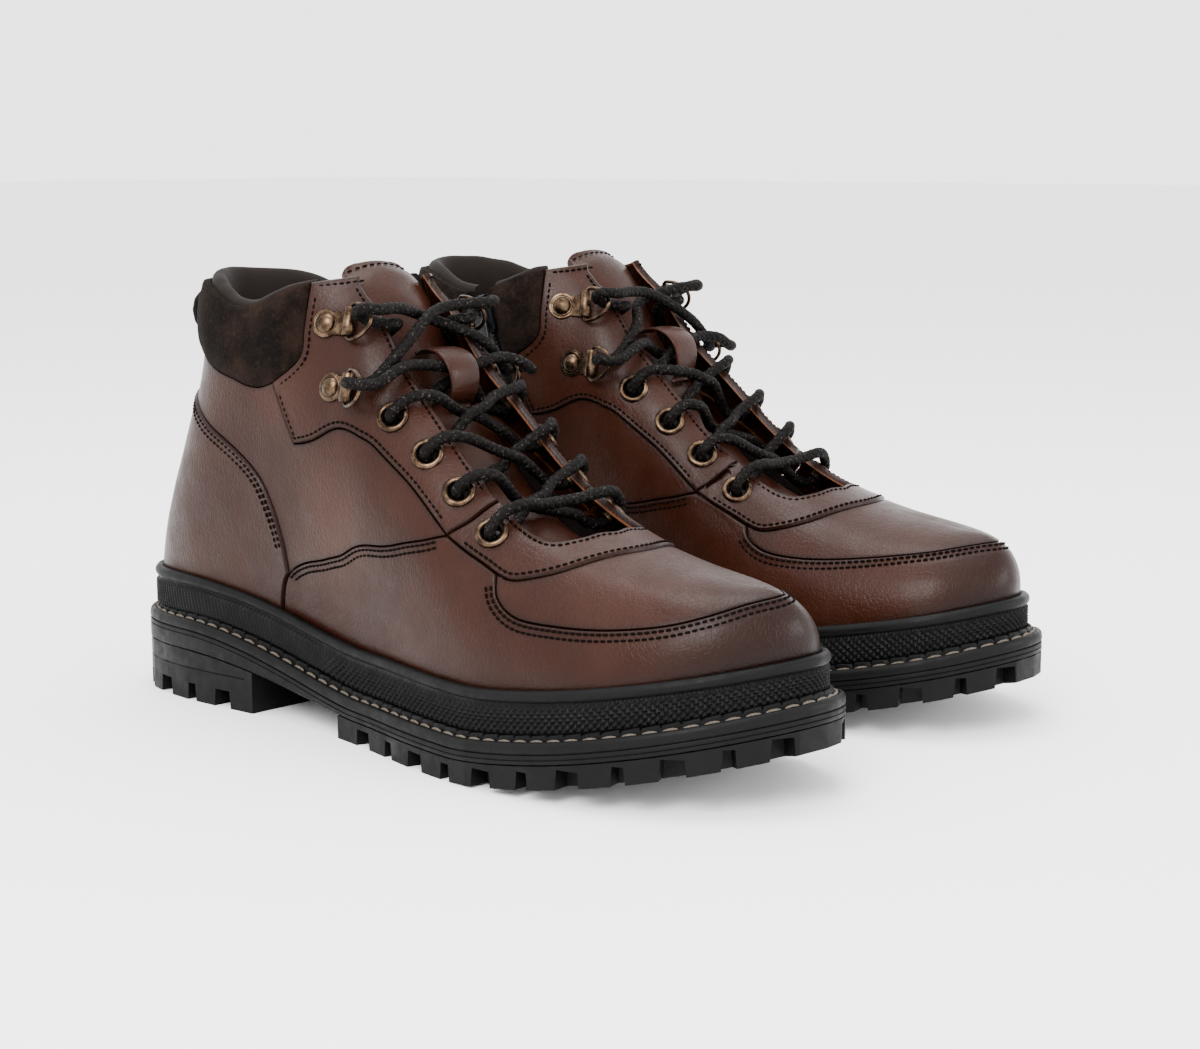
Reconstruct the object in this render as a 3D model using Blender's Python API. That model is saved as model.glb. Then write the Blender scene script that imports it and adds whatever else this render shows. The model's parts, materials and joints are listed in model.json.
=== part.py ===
"""A pair of lace-up leather hiking boots with a side zip, as separate pieces.

The tables are in millimetres, in each boot's own directions: u forward from the heel, w out to
the wearer's outer side, z up. Both boots are made from them, the left as the right's mirror.
Blender objects are in metres: +Z up, toes towards -Y, right boot at -X, origin on the ground
under the middle of the pair.
"""
import math

import bmesh
import bpy
import numpy as np
from mathutils import Vector
from mathutils.geometry import delaunay_2d_cdt

# ---------------------------------------------------------------- driving dimensions (mm)
HEEL_SPACING = 107.7          # between the two boots' centre lines, at the heels
TOE_OUT = {"right": 2.7, "left": 3.3}     # degrees each boot points outward
FORWARD = {"right": 0.0, "left": 1.5}     # how far each boot stands forward
HAND = {"right": -1.0, "left": 1.0}

LEATHER = 1.8                 # thickness of the upper's leather, under its outer face
SEAM_GAP = 0.6                # between the edges of two panels
LAYER_GAP = 0.3

WELT_HEIGHT = 15.0            # top of the welt above the ground at the ball
HEEL_LIFT = 15.0              # how much higher the heel seat is
TOE_SPRING = 19.0             # how far the toe curls up
BAND_HEIGHT = 16.3            # foxing band with its lip, above the welt
FEATHER_HEIGHT = 13.0         # where the leather meets the band, above the welt

HEEL_BREAST = 4.2             # ribs where the heel block ends and the forefoot tread starts
TREAD_START = 6.6
NOTCH_PITCH = 17.3
NOTCH_WIDTHS = (8.0, 4.0)     # wide and narrow notches take turns
NOTCH_DEPTH = 7.0
NOTCH_HEIGHT = 5.8

EYELET_OUTER = 5.7            # radii
EYELET_BORE = 3.4
RIVET = 3.8
BARREL_REACH = 9.5            # from the rivet to the ring's barrel
BARREL_HEIGHT = 3.6
BARREL_LENGTH = 9.2
RING_WIRE = 0.9
RING_TILT = 22.0              # degrees that the laces lift the rings off the leather
LACE = 4.0                    # diameter, drawn tight
ZIP_SLIDER_TOP = 0.955        # height on the zip where the closed slider rests

# Ribs, heel to toe: sole edge (u, half-width) on the outer and the inner side, the point of the
# top line that the rib runs up to, and the two handles of the rib's Bezier curve: out of the
# feather line, and out of the top point. The top line is the collar's edge to rib 6, then the
# middle of the throat and of the vamp.
RIBS = (
    # outer edge   inner edge   top (u, w, z)    low handle     top handle
    ((-2, 0),     (-2, 0),     (29, 0, 155),    (-2, 0, 30),   (10, 0, -42)),
    ((3, 19),     (3, 19),     (36, 17, 155),   (1, 0.5, 30),  (9, -1, -42)),
    ((17, 31.5),  (17, 31),    (51, 28, 153),   (2, 3, 30),    (3, 2, -42)),
    ((43, 36),    (43, 35),    (68, 32.5, 148), (2, 7, 30),    (-2, 3.5, -40)),
    ((73, 35),    (73, 32.5),  (84, 33.5, 149), (2, 10, 32),   (0, 3, -40)),
    ((98, 34.5),  (98, 31),    (100, 31, 155),  (2, 11, 35),   (2, 8, -42)),
    ((118, 36),   (118, 31.5), (116, 20, 158.5), (2, 10, 38),  (2, 24, -34)),
    ((134, 38.5), (134, 33.5), (131, 0, 157),   (1, 8, 40),    (-3, 49, -14)),
    ((151, 42),   (151, 37.5), (144, 0, 139),   (0, 6, 36),    (-3, 48, -10)),
    ((169, 46.5), (169, 42),   (158, 0, 124.5), (-2, 4, 32),   (-2, 45, -6)),
    ((187, 50),   (187, 46),   (173, 0, 109),   (-4, 3, 28),   (-1, 42, -3)),
    ((205, 52),   (205, 49.5), (189, 0, 95.5),  (-4, 2, 24),   (0, 38, -2)),
    ((225, 51.5), (225, 51.5), (208, 0, 84),    (-4, 2, 22),   (0, 33, 0)),
    ((245, 49),   (245, 51),   (228, 0, 77),    (-3, 2, 20),   (0, 29, 0)),
    ((265, 42.5), (265, 47.5), (247, 0, 72.5),  (-1, 2, 18),   (3, 24, 0)),
    ((283, 32),   (284, 40),   (263, 0, 69.8),  (1, 2, 16),    (8, 18, 0)),
    ((298, 15.5), (299, 25),   (273, -1, 68.4), (2, 1, 14),    (12, 9, 0)),
    ((306, -6),   (306, -6),   (279, -2, 67.8), (2, 0, 13),    (13, -2, 0)),
)
TOE = len(RIBS) - 1           # the rib at the toe tip; rib 0 is the middle of the heel
LOOP = 2 * TOE

# Seams and edges, as (rib, height), height 0 at the feather line and 1 at the top line.
LOW = -0.05                   # the leather runs this far down behind the foxing band
COVER_EDGE = [(0, .70), (1, .69), (2, .66), (2.8, .62), (3.6, .56), (4.28, .47), (4.6, .38),
              (4.8, .28), (4.86, .18)]
SIDE_SEAM = [(4.5, LOW), (4.62, .08), (4.86, .18), (5.3, .24), (6.0, .275), (6.7, .30),
             (7.8, .345), (8.8, .395), (9.6, .45), (10.26, .52)]
STAY_EDGE = [(4.66, .75), (5.29, .57), (6.12, .56), (7.0, .54), (7.43, .55), (8.01, .58),
             (8.91, .57), (9.6, .55), (10.26, .52)]
COLLAR_EDGE = [(0, .80), (1, .80), (2, .80), (2.6, .795), (3.39, .78), (3.9, .755), (4.23, .745),
               (4.66, .75)]
COLLAR_FRONT = [(4.66, .75), (5.42, .80), (5.45, .87), (5.45, 1)]
SADDLE_SEAM = [(10.26, .52), (10.74, .63), (11.06, .77)]
SADDLE_EDGE = [(10.26, .52), (11.14, .51), (11.71, .49), (12.14, .53), (12.71, .63), (13.28, .83),
               (13.5, 1)]
THROAT_END = [(11.06, .77), (11.71, .74), (12.2, .74), (12.55, .83), (12.68, .94), (12.75, 1)]
APRON_SEAM = {
    "outer": [(11.46, .499), (11.53, .40), (11.89, .345), (12.71, .34), (13.73, .355), (14.55, .40),
              (15.28, .49), (15.96, .60), (16.5, .665), (TOE, .70)],
    "inner": [(11.46, .499), (11.5, .44), (11.8, .40), (12.6, .40), (13.7, .45), (14.76, .53),
              (15.5, .60), (16, .645), (16.5, .685), (TOE, .70)],
}
EYELETS = [(11.2, .635), (10.3, .68), (9.4, .69), (8.35, .70)]       # lowest first
CLIPS = [(6.45, .655), (5.97, .86)]                                  # lower and upper ring clips
ZIP_RIB = 3.72                # the zip's rib at the top line
ZIP_SLOPE = 2.3               # ribs that it moves forward over the whole height
ZIP_LOW = 0.31                # where the zip ends
SLOT = 0.31                   # half-width of the slot in the leather, in ribs
SIDES = {"outer": 1.0, "inner": -1.0}


def ramp(x, low, high):
    """Smooth step from 0 at low to 1 at high."""
    f = np.clip((np.asarray(x, float) - low) / (high - low), 0.0, 1.0)
    return f * f * (3.0 - 2.0 * f)


# ---------------------------------------------------------------- the boot's form
class ClosedCurve:
    """Closed cubic spline through points; its parameter grows by 1 from each point to the next."""

    def __init__(self, points):
        self.points = np.array(points, float)
        self.count = len(self.points)
        eye = np.eye(self.count)
        system = 4.0 * eye + np.roll(eye, 1, 1) + np.roll(eye, -1, 1)
        reach = np.roll(self.points, -1, 0) - np.roll(self.points, 1, 0)
        self.slopes = np.linalg.solve(system, 3.0 * reach)

    def __call__(self, at):
        at = np.asarray(at, float)
        index = np.floor(at).astype(int)
        f = (at - index)[..., None]
        a, b = index % self.count, (index + 1) % self.count
        return ((2 * f**3 - 3 * f**2 + 1) * self.points[a] + (f**3 - 2 * f**2 + f) * self.slopes[a]
                + (3 * f**2 - 2 * f**3) * self.points[b] + (f**3 - f**2) * self.slopes[b])


def round_the_boot(row):
    """One value per rib, up the outer side to the toe and back down the inner side."""
    return ([row(RIBS[k], "outer") for k in range(TOE + 1)]
            + [row(RIBS[k], "inner") for k in range(TOE - 1, 0, -1)])


def edge_point(rib, side):
    u, half = rib[0] if side == "outer" else rib[1]
    return (u, half * SIDES[side] if half > 0 else half)


def top_point(rib, side):
    u, w, z = rib[2]
    return (u, w * SIDES[side] if w > 0 else w, z)


def top_handle(rib, side):
    u, w, z = rib[4]
    return np.add(top_point(rib, side), (u, w * SIDES[side] if w > 0 else w, z))


def low_handle(rib, side):
    u, w, z = rib[3]
    return (u, w * SIDES[side], z)


EDGE = ClosedCurve(round_the_boot(edge_point))


def welt_top(u):
    spring = np.clip((np.asarray(u, float) - 195.0) / 110.0, 0.0, 1.1) ** 1.5
    return WELT_HEIGHT + TOE_SPRING * spring + HEEL_LIFT * ramp(u, 140.0, 40.0)


def tread_bottom(u):
    return TOE_SPRING * np.clip((np.asarray(u, float) - 195.0) / 110.0, 0.0, 1.1) ** 1.5


def midsole_bottom(u):
    return welt_top(u) - 7.0 - 4.0 * ramp(u, 140.0, 40.0)


def outline(at, inset):
    """Plan of the sole's edge, moved inward."""
    step = EDGE(np.asarray(at) + 0.01) - EDGE(np.asarray(at) - 0.01)
    inward = np.stack([step[..., 1], -step[..., 0]], -1)
    inward = inward / np.linalg.norm(inward, axis=-1, keepdims=True)
    return EDGE(at) + inward * np.asarray(inset, float)[..., None]


def upper_inset(u):
    """How far the upper stands in from the sole's edge."""
    return 6.0 + 2.5 * ramp(u, 0.0, 90.0)


def feather_points():
    at = np.arange(LOOP, dtype=float)
    plan = outline(at, upper_inset(EDGE(at)[:, 0]))
    return np.column_stack([plan, welt_top(plan[:, 0]) + FEATHER_HEIGHT])


FEATHER = ClosedCurve(feather_points())
LOW_HANDLE = ClosedCurve(FEATHER.points + np.array(round_the_boot(low_handle), float))
TOP_HANDLE = ClosedCurve(round_the_boot(top_handle))
TOP = ClosedCurve(round_the_boot(top_point))


def skin(at, height):
    """Outer face of the upper."""
    at, height = np.broadcast_arrays(np.asarray(at, float), np.asarray(height, float))
    t = height[..., None]
    return ((1 - t)**3 * FEATHER(at) + 3 * (1 - t)**2 * t * LOW_HANDLE(at)
            + 3 * (1 - t) * t * t * TOP_HANDLE(at) + t**3 * TOP(at))


def skin_normal(at, height):
    e = 0.003
    height = np.minimum(height, 0.98)         # the ribs close up at the very top of the toe
    forward = skin(np.asarray(at) + e, height) - skin(np.asarray(at) - e, height)
    up = skin(at, height + e) - skin(at, height - e)
    normal = np.cross(up, forward)
    return normal / np.linalg.norm(normal, axis=-1, keepdims=True)


def around(side, rib):
    """Parameter of the closed curves for a rib on one side."""
    rib = np.asarray(rib, float)
    return rib if side == "outer" else LOOP - rib


def height_at_width(side, rib, width):
    """Height on a rib, near its top, where the skin is this far from the middle."""
    low, high = 0.5, 1.0
    for _ in range(30):
        middle = (low + high) / 2
        if abs(float(skin(around(side, rib), middle)[1])) > width:
            low = middle
        else:
            high = middle
    return high


def off_skin(rib, across, lift):
    """Point over the throat: rib, signed distance from the middle, height above the leather."""
    side = "outer" if across >= 0 else "inner"
    at = around(side, rib)
    height = height_at_width(side, rib, abs(across))
    return skin(at, height) + skin_normal(at, height) * lift


def throat_half_width(rib):
    return 17.0 + 4.0 * ramp(rib, 6.0, 11.0)


class Spot:
    """A place on the skin with its directions: out of the leather, up the leg and forward."""

    def __init__(self, side, rib, height):
        at = around(side, rib)
        self.origin = skin(at, height)
        self.out = skin_normal(at, height)
        up = np.array([0.0, 0.0, 1.0]) - self.out * self.out[2]
        self.up = up / np.linalg.norm(up)
        self.forward = np.cross(self.out, self.up) * SIDES[side]

    def __call__(self, forward=0.0, up=0.0, out=0.0):
        return self.origin + self.forward * forward + self.up * up + self.out * out


# ---------------------------------------------------------------- meshes in plain lists
RIB_SCALE = 17.0              # about how many millimetres one rib and one unit of height span
HEIGHT_SCALE = 120.0


def inside(point, polygon):
    x, y = point
    found = False
    for (ax, ay), (bx, by) in zip(polygon, polygon[1:] + polygon[:1]):
        if (ay > y) != (by > y) and x < (bx - ax) * (y - ay) / (by - ay) + ax:
            found = not found
    return found


def on_joint(a, b, joined):
    """Whether the line from a to b is one where the outer and inner halves meet."""
    return (("heel" in joined and a[0] == b[0] == 0) or ("toe" in joined and a[0] == b[0] == TOE)
            or ("ridge" in joined and a[1] == b[1] == 1))


def shrunk(polygon, joined):
    """The outline in scaled units, moved in by half a seam, except along joined lines."""
    flat = [np.array((r * RIB_SCALE, t * HEIGHT_SCALE)) for r, t in polygon]
    area = sum(a[0] * b[1] - b[0] * a[1] for a, b in zip(flat, flat[1:] + flat[:1]))
    if area < 0:
        flat, polygon = flat[::-1], polygon[::-1]
    count, margin = len(flat), SEAM_GAP / 2
    ways = [(flat[(k + 1) % count] - flat[k]) / math.dist(flat[(k + 1) % count], flat[k])
            for k in range(count)]
    kept = [on_joint(polygon[k], polygon[(k + 1) % count], joined) for k in range(count)]
    corners = []
    for k in range(count):
        before, after = ways[k - 1], ways[k]
        cross = before[0] * after[1] - before[1] * after[0]
        if kept[k - 1] and kept[k]:
            corner = flat[k]
        elif kept[k]:
            corner = flat[k] + after * margin
        elif kept[k - 1]:
            corner = flat[k] - before * margin
        elif abs(cross) < 0.05:
            corner = flat[k] + np.array((-after[1], after[0])) * margin
        else:
            corner = flat[k] + (after - before) * margin / cross
        corners.append(tuple(corner))
    return corners


def divided(polygon, spacing):
    points = []
    for a, b in zip(polygon, polygon[1:] + polygon[:1]):
        steps = max(1, math.ceil(math.dist(a, b) / spacing - 0.01))
        points += [(a[0] + (b[0] - a[0]) * k / steps, a[1] + (b[1] - a[1]) * k / steps)
                   for k in range(steps)]
    return points


def triangles(polygon, holes, spacing, seeds=()):
    """Triangles over an outline in scaled units, with an even lattice of points inside."""
    rim = divided(polygon, spacing)
    loops = [rim] + holes
    points = [p for loop in loops for p in loop]
    edges, start = [], 0
    for loop in loops:
        edges += [(start + k, start + (k + 1) % len(loop)) for k in range(len(loop))]
        start += len(loop)
    points += list(seeds)
    low, high = np.min(polygon, 0), np.max(polygon, 0)
    for row, y in enumerate(np.arange(low[1] + spacing / 2, high[1], spacing)):
        for x in np.arange(low[0] + spacing * (0.5 + 0.5 * (row % 2)), high[0], spacing):
            near = min(math.dist((x, y), p) for p in points)
            if near > spacing * 0.5 and inside((x, y), rim) and not any(inside((x, y), h) for h in holes):
                points.append((x, y))
    vertices, _, faces, *_ = delaunay_2d_cdt([Vector(p) for p in points], edges, [], 1, 1e-6)
    vertices = [tuple(v) for v in vertices]
    kept = []
    for face in faces:
        middle = tuple(np.mean([vertices[k] for k in face], 0))
        if not any(inside(middle, hole) for hole in holes):
            kept.append(list(face))
    return vertices, kept


def hole_outline(side, hole, sides=8):
    """A round hole in the leather, in scaled units."""
    rib, height, radius = hole
    e = 0.01
    along = (skin(around(side, rib + e), height) - skin(around(side, rib - e), height)) / (2 * e)
    rise = (skin(around(side, rib), height + e) - skin(around(side, rib), height - e)) / (2 * e)
    spot = Spot(side, rib, height)
    matrix = np.linalg.pinv(np.column_stack([along, rise]))
    points = []
    for k in range(sides):
        angle = 2 * math.pi * k / sides
        step = matrix @ (spot.forward * math.cos(angle) + spot.up * math.sin(angle)) * radius
        points.append(((rib + step[0]) * RIB_SCALE, (height + step[1]) * HEIGHT_SCALE))
    return points


def value(depth, rib, height):
    return depth(rib, height) if callable(depth) else depth


def sheet(patches, inner, outer, joined=(), spacing=14.0):
    """A closed shell between two depths under the skin, over one or two sides' outlines.

    patches holds (side, outline, holes); halves that meet on a joined line are welded there.
    """
    base, normals, depths, faces, index = [], [], [], [], {}
    corner = [((TOE - 0.3) * RIB_SCALE, 0.95 * HEIGHT_SCALE)] if {"toe", "ridge"} <= set(joined) else []
    for side, polygon, holes in patches:
        cuts = [hole_outline(side, hole) for hole in holes]
        flat, found = triangles(shrunk(polygon, joined), cuts, spacing, corner)
        local = []
        for x, y in flat:
            rib, height = x / RIB_SCALE, min(y / HEIGHT_SCALE, 1.0)
            point, normal = skin(around(side, rib), height), skin_normal(around(side, rib), height)
            shared = on_joint((round(rib, 4), round(height, 5)), (round(rib, 4), round(height, 5)), joined)
            key = (round(x, 2), round(y, 2)) if shared else (side, len(base))
            if key in index:
                normals[index[key]] = normals[index[key]] + normal
            else:
                index[key] = len(base)
                base.append(point)
                normals.append(normal)
                depths.append((value(inner, rib, height), value(outer, rib, height)))
            local.append(index[key])
        for face in found:
            corners = [local[k] for k in face]
            faces.append(corners if side == "outer" else corners[::-1])
    return thickened(base, normals, depths, faces)


def thickened(base, normals, depths, faces):
    base, normals, depths = np.array(base), np.array(normals), np.array(depths)
    normals = normals / np.linalg.norm(normals, axis=1)[:, None]
    count = len(base)
    vertices = np.concatenate([base + normals * depths[:, 1:], base + normals * depths[:, :1]])
    used = {}
    for face in faces:
        for a, b in zip(face, face[1:] + face[:1]):
            used[(a, b)] = True
    walls = [[a, b, b + count, a + count] for a, b in used if (b, a) not in used]
    return vertices, [f[::-1] for f in faces] + [[k + count for k in f] for f in faces] + walls


def ladder(inset, bottom, top, start=0.0, end=float(TOE), step=0.5):
    """A slab over the sole's plan from one rib to another, its levels given as functions of u."""
    ribs = [start] + [k * step for k in range(int(2 * TOE) + 1) if start < k * step < end] + [end]
    rails = []
    for rib in ribs:
        pair = [outline(around(side, rib), inset) for side in ("outer", "inner")]
        rails.append(pair)
    vertices, rungs = [], []
    for outer, inner in rails:
        single = np.linalg.norm(outer - inner) < 0.01
        rung = []
        for point in ([outer] if single else [outer, inner]):
            rung.append(len(vertices))
            vertices += [(*point, float(bottom(point[0]))), (*point, float(top(point[0])))]
        rungs.append((rung[0], rung[-1]))
    faces = []
    for (a, b), (c, d) in zip(rungs, rungs[1:]):
        for low in (0, 1):
            corners = [a + low, c + low, d + low, b + low]
            corners = [k for n, k in enumerate(corners) if k != corners[n - 1]]
            faces.append(corners if low else corners[::-1])
        faces += [[a, c, c + 1, a + 1], [d, b, b + 1, d + 1]]
    for a, b in (rungs[0], rungs[-1]):
        if a != b:
            faces.append([a, a + 1, b + 1, b])
    return np.array(vertices, float), faces


def ring_of(profiles):
    """Closed tube whose cross-sections are given one after another round a loop."""
    size, count = len(profiles[0]), len(profiles)
    faces = []
    for k in range(count):
        n = (k + 1) % count
        for j in range(size):
            m = (j + 1) % size
            faces.append([k * size + j, n * size + j, n * size + m, k * size + m])
    return np.concatenate([np.array(p, float) for p in profiles]), faces


def turned(spot, profile, sides=8, forward=0.0):
    """A profile of (radius, height) turned about the spot's outward direction, as a ring."""
    profiles = []
    for k in range(sides):
        angle = 2 * math.pi * k / sides
        profiles.append([spot(forward + r * math.cos(angle), r * math.sin(angle), h) for r, h in profile])
    return ring_of(profiles)


def disc(spot, profile, sides=8, forward=0.0):
    """A profile of (radius, height) turned into a solid stud; it starts and ends on the axis."""
    rows = [[spot(forward + r * math.cos(2 * math.pi * k / sides),
                  r * math.sin(2 * math.pi * k / sides), h) for k in range(sides)]
            for r, h in profile[1:-1]]
    vertices = [spot(forward, 0, profile[0][1])] + [p for row in rows for p in row]
    vertices.append(spot(forward, 0, profile[-1][1]))
    faces = [[0, 1 + (k + 1) % sides, 1 + k] for k in range(sides)]
    for row in range(len(rows) - 1):
        for k in range(sides):
            a, b = 1 + row * sides + k, 1 + row * sides + (k + 1) % sides
            faces.append([a, b, b + sides, a + sides])
    last, tip = 1 + (len(rows) - 1) * sides, len(vertices) - 1
    faces += [[last + k, last + (k + 1) % sides, tip] for k in range(sides)]
    return np.array(vertices, float), faces


def box(centre, directions, sizes):
    """A box from its centre, three directions and three full sizes."""
    corners = [centre + sum(np.array(d) * s * 0.5 * sign for d, s, sign in zip(directions, sizes, signs))
               for signs in [(i, j, k) for i in (-1, 1) for j in (-1, 1) for k in (-1, 1)]]
    faces = [[0, 1, 3, 2], [4, 6, 7, 5], [0, 4, 5, 1], [2, 3, 7, 6], [0, 2, 6, 4], [1, 5, 7, 3]]
    return np.array(corners, float), faces


def rod(start, end, radius, sides=8):
    """A cylinder between two points."""
    start, end = np.array(start, float), np.array(end, float)
    axis = (end - start) / np.linalg.norm(end - start)
    side = np.cross(axis, (0.3, 0.5, 0.81))
    side = side / np.linalg.norm(side)
    third = np.cross(axis, side)
    angles = [2 * math.pi * k / sides for k in range(sides)]
    circle = [side * math.cos(a) * radius + third * math.sin(a) * radius for a in angles]
    vertices = [start + c for c in circle] + [end + c for c in circle]
    faces = [[k, (k + 1) % sides, sides + (k + 1) % sides, sides + k] for k in range(sides)]
    return np.array(vertices), faces + [list(range(sides))[::-1], list(range(sides, 2 * sides))]


# ---------------------------------------------------------------- Blender objects
def centre_shift():
    """Middle of the pair's outlines, which the origin stands under."""
    points = []
    for boot in ("right", "left"):
        points += [turned_out(boot, (*p, 0.0)) for p in outline(np.arange(0, LOOP, 0.05), 0.0)]
    points = np.array(points)
    return (points.min(0) + points.max(0)) / 2 * (1, 1, 0)


def turned_out(boot, point):
    """A boot's own point in the pair's directions, before centring."""
    u, w, z = point
    angle = math.radians(TOE_OUT[boot])
    ahead = u * math.cos(angle) - w * math.sin(angle) + FORWARD[boot]
    aside = u * math.sin(angle) + w * math.cos(angle) + HEEL_SPACING / 2
    return np.array([HAND[boot] * aside, -ahead, z])


SHIFT = centre_shift()


def world(boot, point):
    return Vector((turned_out(boot, point) - SHIFT) / 1000.0)


def material(name, colour, roughness, metallic=0.0):
    found = bpy.data.materials.get(name)
    if found:
        return found
    made = bpy.data.materials.new(name)
    made.use_nodes = True
    shader = made.node_tree.nodes["Principled BSDF"]
    shader.inputs["Base Color"].default_value = (*colour, 1.0)
    shader.inputs["Roughness"].default_value = roughness
    shader.inputs["Metallic"].default_value = metallic
    made.diffuse_color = (*colour, 1.0)
    return made


MATERIALS = {
    "leather": ("brown leather", (0.105, 0.042, 0.024), 0.42, 0.0),
    "suede": ("collar suede", (0.018, 0.011, 0.009), 0.95, 0.0),
    "lining": ("dark lining", (0.024, 0.016, 0.013), 0.85, 0.0),
    "rubber": ("black rubber", (0.016, 0.016, 0.017), 0.5, 0.0),
    "board": ("fibre board", (0.30, 0.22, 0.14), 0.9, 0.0),
    "brass": ("antique brass", (0.32, 0.19, 0.09), 0.35, 1.0),
    "gunmetal": ("gunmetal", (0.06, 0.06, 0.065), 0.35, 1.0),
    "cord": ("waxed cord", (0.012, 0.011, 0.011), 0.6, 0.0),
    "webbing": ("black webbing", (0.012, 0.012, 0.012), 0.9, 0.0),
}


def make(boot, name, shape, finish, smooth=35.0, origin=None):
    """An object from vertices in the boot's millimetres and faces."""
    points, faces = shape
    origin = world(boot, origin) if origin is not None else Vector((0, 0, 0))
    mesh = bpy.data.meshes.new(name)
    mesh.from_pydata([world(boot, p) - origin for p in points], [], faces)
    form = bmesh.new()
    form.from_mesh(mesh)
    bmesh.ops.recalc_face_normals(form, faces=form.faces)
    form.to_mesh(mesh)
    form.free()
    mesh.shade_smooth()
    mesh.set_sharp_from_angle(angle=math.radians(smooth))
    mesh.materials.append(material(*MATERIALS[finish]))
    made = bpy.data.objects.new(f"{boot}_{name}", mesh)
    made.location = origin
    bpy.context.scene.collection.objects.link(made)
    return made


def combined(target, others, operation="UNION"):
    """Apply a Boolean of target with each of the others, which are removed."""
    for other in others:
        change = target.modifiers.new("join", "BOOLEAN")
        change.operation = operation
        change.object = other
        bpy.context.view_layer.update()
        graph = bpy.context.evaluated_depsgraph_get()
        mesh = bpy.data.meshes.new_from_object(target.evaluated_get(graph))
        target.modifiers.remove(change)
        old = target.data
        target.data = mesh
        bpy.data.meshes.remove(old)
        bpy.data.objects.remove(other)
    return target


def both(polygon_of, holes_of=lambda side: []):
    return [(side, polygon_of(side), holes_of(side)) for side in SIDES]


# ---------------------------------------------------------------- sole
def notch_cutters(boot, start, end, low_of, height, side):
    """Wedges that cut the tread's edge into lugs, one every NOTCH_PITCH along the sole's edge."""
    fine = np.arange(start, end, 0.01)
    line = outline(around(side, fine), 0.0)
    length = np.concatenate([[0], np.cumsum(np.linalg.norm(np.diff(line, axis=0), axis=1))])
    count = int((length[-1] - NOTCH_PITCH * 0.6) / NOTCH_PITCH)
    first = (length[-1] - (count - 1) * NOTCH_PITCH) / 2
    shapes = []
    for k in range(count):
        rib = float(np.interp(first + k * NOTCH_PITCH, length, fine))
        edge, deep = (outline(around(side, rib), inset) for inset in (-3.0, NOTCH_DEPTH))
        inward = (deep - edge) / np.linalg.norm(deep - edge)
        across = np.array([-inward[1], inward[0]])
        half = NOTCH_WIDTHS[k % 2] / 2
        low = float(low_of(edge[0]))
        rows = []
        for z, grow in ((low - 4.0, 0.9), (low + height, 0.0)):
            for point, wide in ((edge, half + grow), (deep, half * 0.8 + grow)):
                rows += [(*(point - across * wide), z), (*(point + across * wide), z)]
        faces = [[0, 1, 3, 2], [4, 6, 7, 5], [0, 4, 5, 1], [2, 3, 7, 6], [0, 2, 6, 4], [1, 5, 7, 3]]
        shapes.append((np.array(rows), faces))
    return shapes


def merged(shapes):
    """Several separate shapes in one list of vertices and faces."""
    vertices, faces, start = [], [], 0
    for points, found in shapes:
        vertices.append(points)
        faces += [[k + start for k in face] for face in found]
        start += len(points)
    return np.concatenate(vertices), faces


def outsole(boot):
    top = lambda u: midsole_bottom(u) - LAYER_GAP
    web_low = lambda u: midsole_bottom(u) - 2.3
    flat = lambda u: 0.0 * u
    tread = make(boot, "outsole", ladder(0.0, tread_bottom, top, TREAD_START), "rubber")
    heel = make(boot, "heel", ladder(0.0, flat, top, 0.0, HEEL_BREAST), "rubber")
    for body, start, end, low_of, height in (
            (tread, TREAD_START, float(TOE), tread_bottom, NOTCH_HEIGHT),
            (heel, 0.0, HEEL_BREAST, flat, NOTCH_HEIGHT + 0.7)):
        shapes = [s for side in SIDES for s in notch_cutters(boot, start, end, low_of, height, side)]
        combined(body, [make(boot, "notches", merged(shapes), "rubber")], "DIFFERENCE")
    web_top = lambda u: top(u) - 0.05
    web = make(boot, "web", ladder(5.0, web_low, web_top, HEEL_BREAST - 0.3, TREAD_START + 0.3), "rubber")
    return combined(tread, [web, heel])


def ring_stations():
    """Places round the boot, closer together at the heel and the toe."""
    side = list(np.arange(0, 4, 0.5)) + list(np.arange(4, 12.2, 0.75)) + list(np.arange(13, TOE, 0.5))
    return side + [float(TOE)] + [LOOP - s for s in side[:0:-1]]


def foxing_band(boot):
    """Rubber band round the foot of the upper, with a lip that laps the leather."""
    profiles = []
    for at in ring_stations():
        u = float(EDGE(at)[0])
        floor = float(welt_top(u)) + 2 * LAYER_GAP
        outer, inner = (outline(at, upper_inset(u) + d) for d in (-3.0, -0.6))
        rows = [(*inner, floor), (*outer, floor)]
        for height, depths in ((0.0, (3.1,)), (0.036, (3.3, 1.4)), (0.0, (1.4,))):
            rows += [skin(at, height) + skin_normal(at, height) * depth for depth in depths]
        profiles.append(rows)
    return make(boot, "foxing_band", ring_of(profiles), "rubber")


def sole_parts(boot):
    outsole(boot)
    make(boot, "midsole", ladder(0.0, midsole_bottom, welt_top), "rubber")
    foxing_band(boot)
    above = lambda rise: (lambda u: welt_top(u) + rise)
    make(boot, "insole_board", ladder(9.0, above(0.7), above(2.9), step=1.0), "board")
    make(boot, "footbed", ladder(9.5, above(3.3), above(6.8), step=1.0), "lining")


# ---------------------------------------------------------------- upper
def zip_rib(height):
    return ZIP_RIB + (1.0 - height) * ZIP_SLOPE


def beside_zip(offset, heights):
    return [(zip_rib(h) + offset, h) for h in heights]


def throat_edge(side, ribs):
    """Front edge of the eyelet stay, where the two facings stand apart."""
    return [(r, height_at_width(side, r, float(throat_half_width(r)))) for r in ribs]


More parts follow.
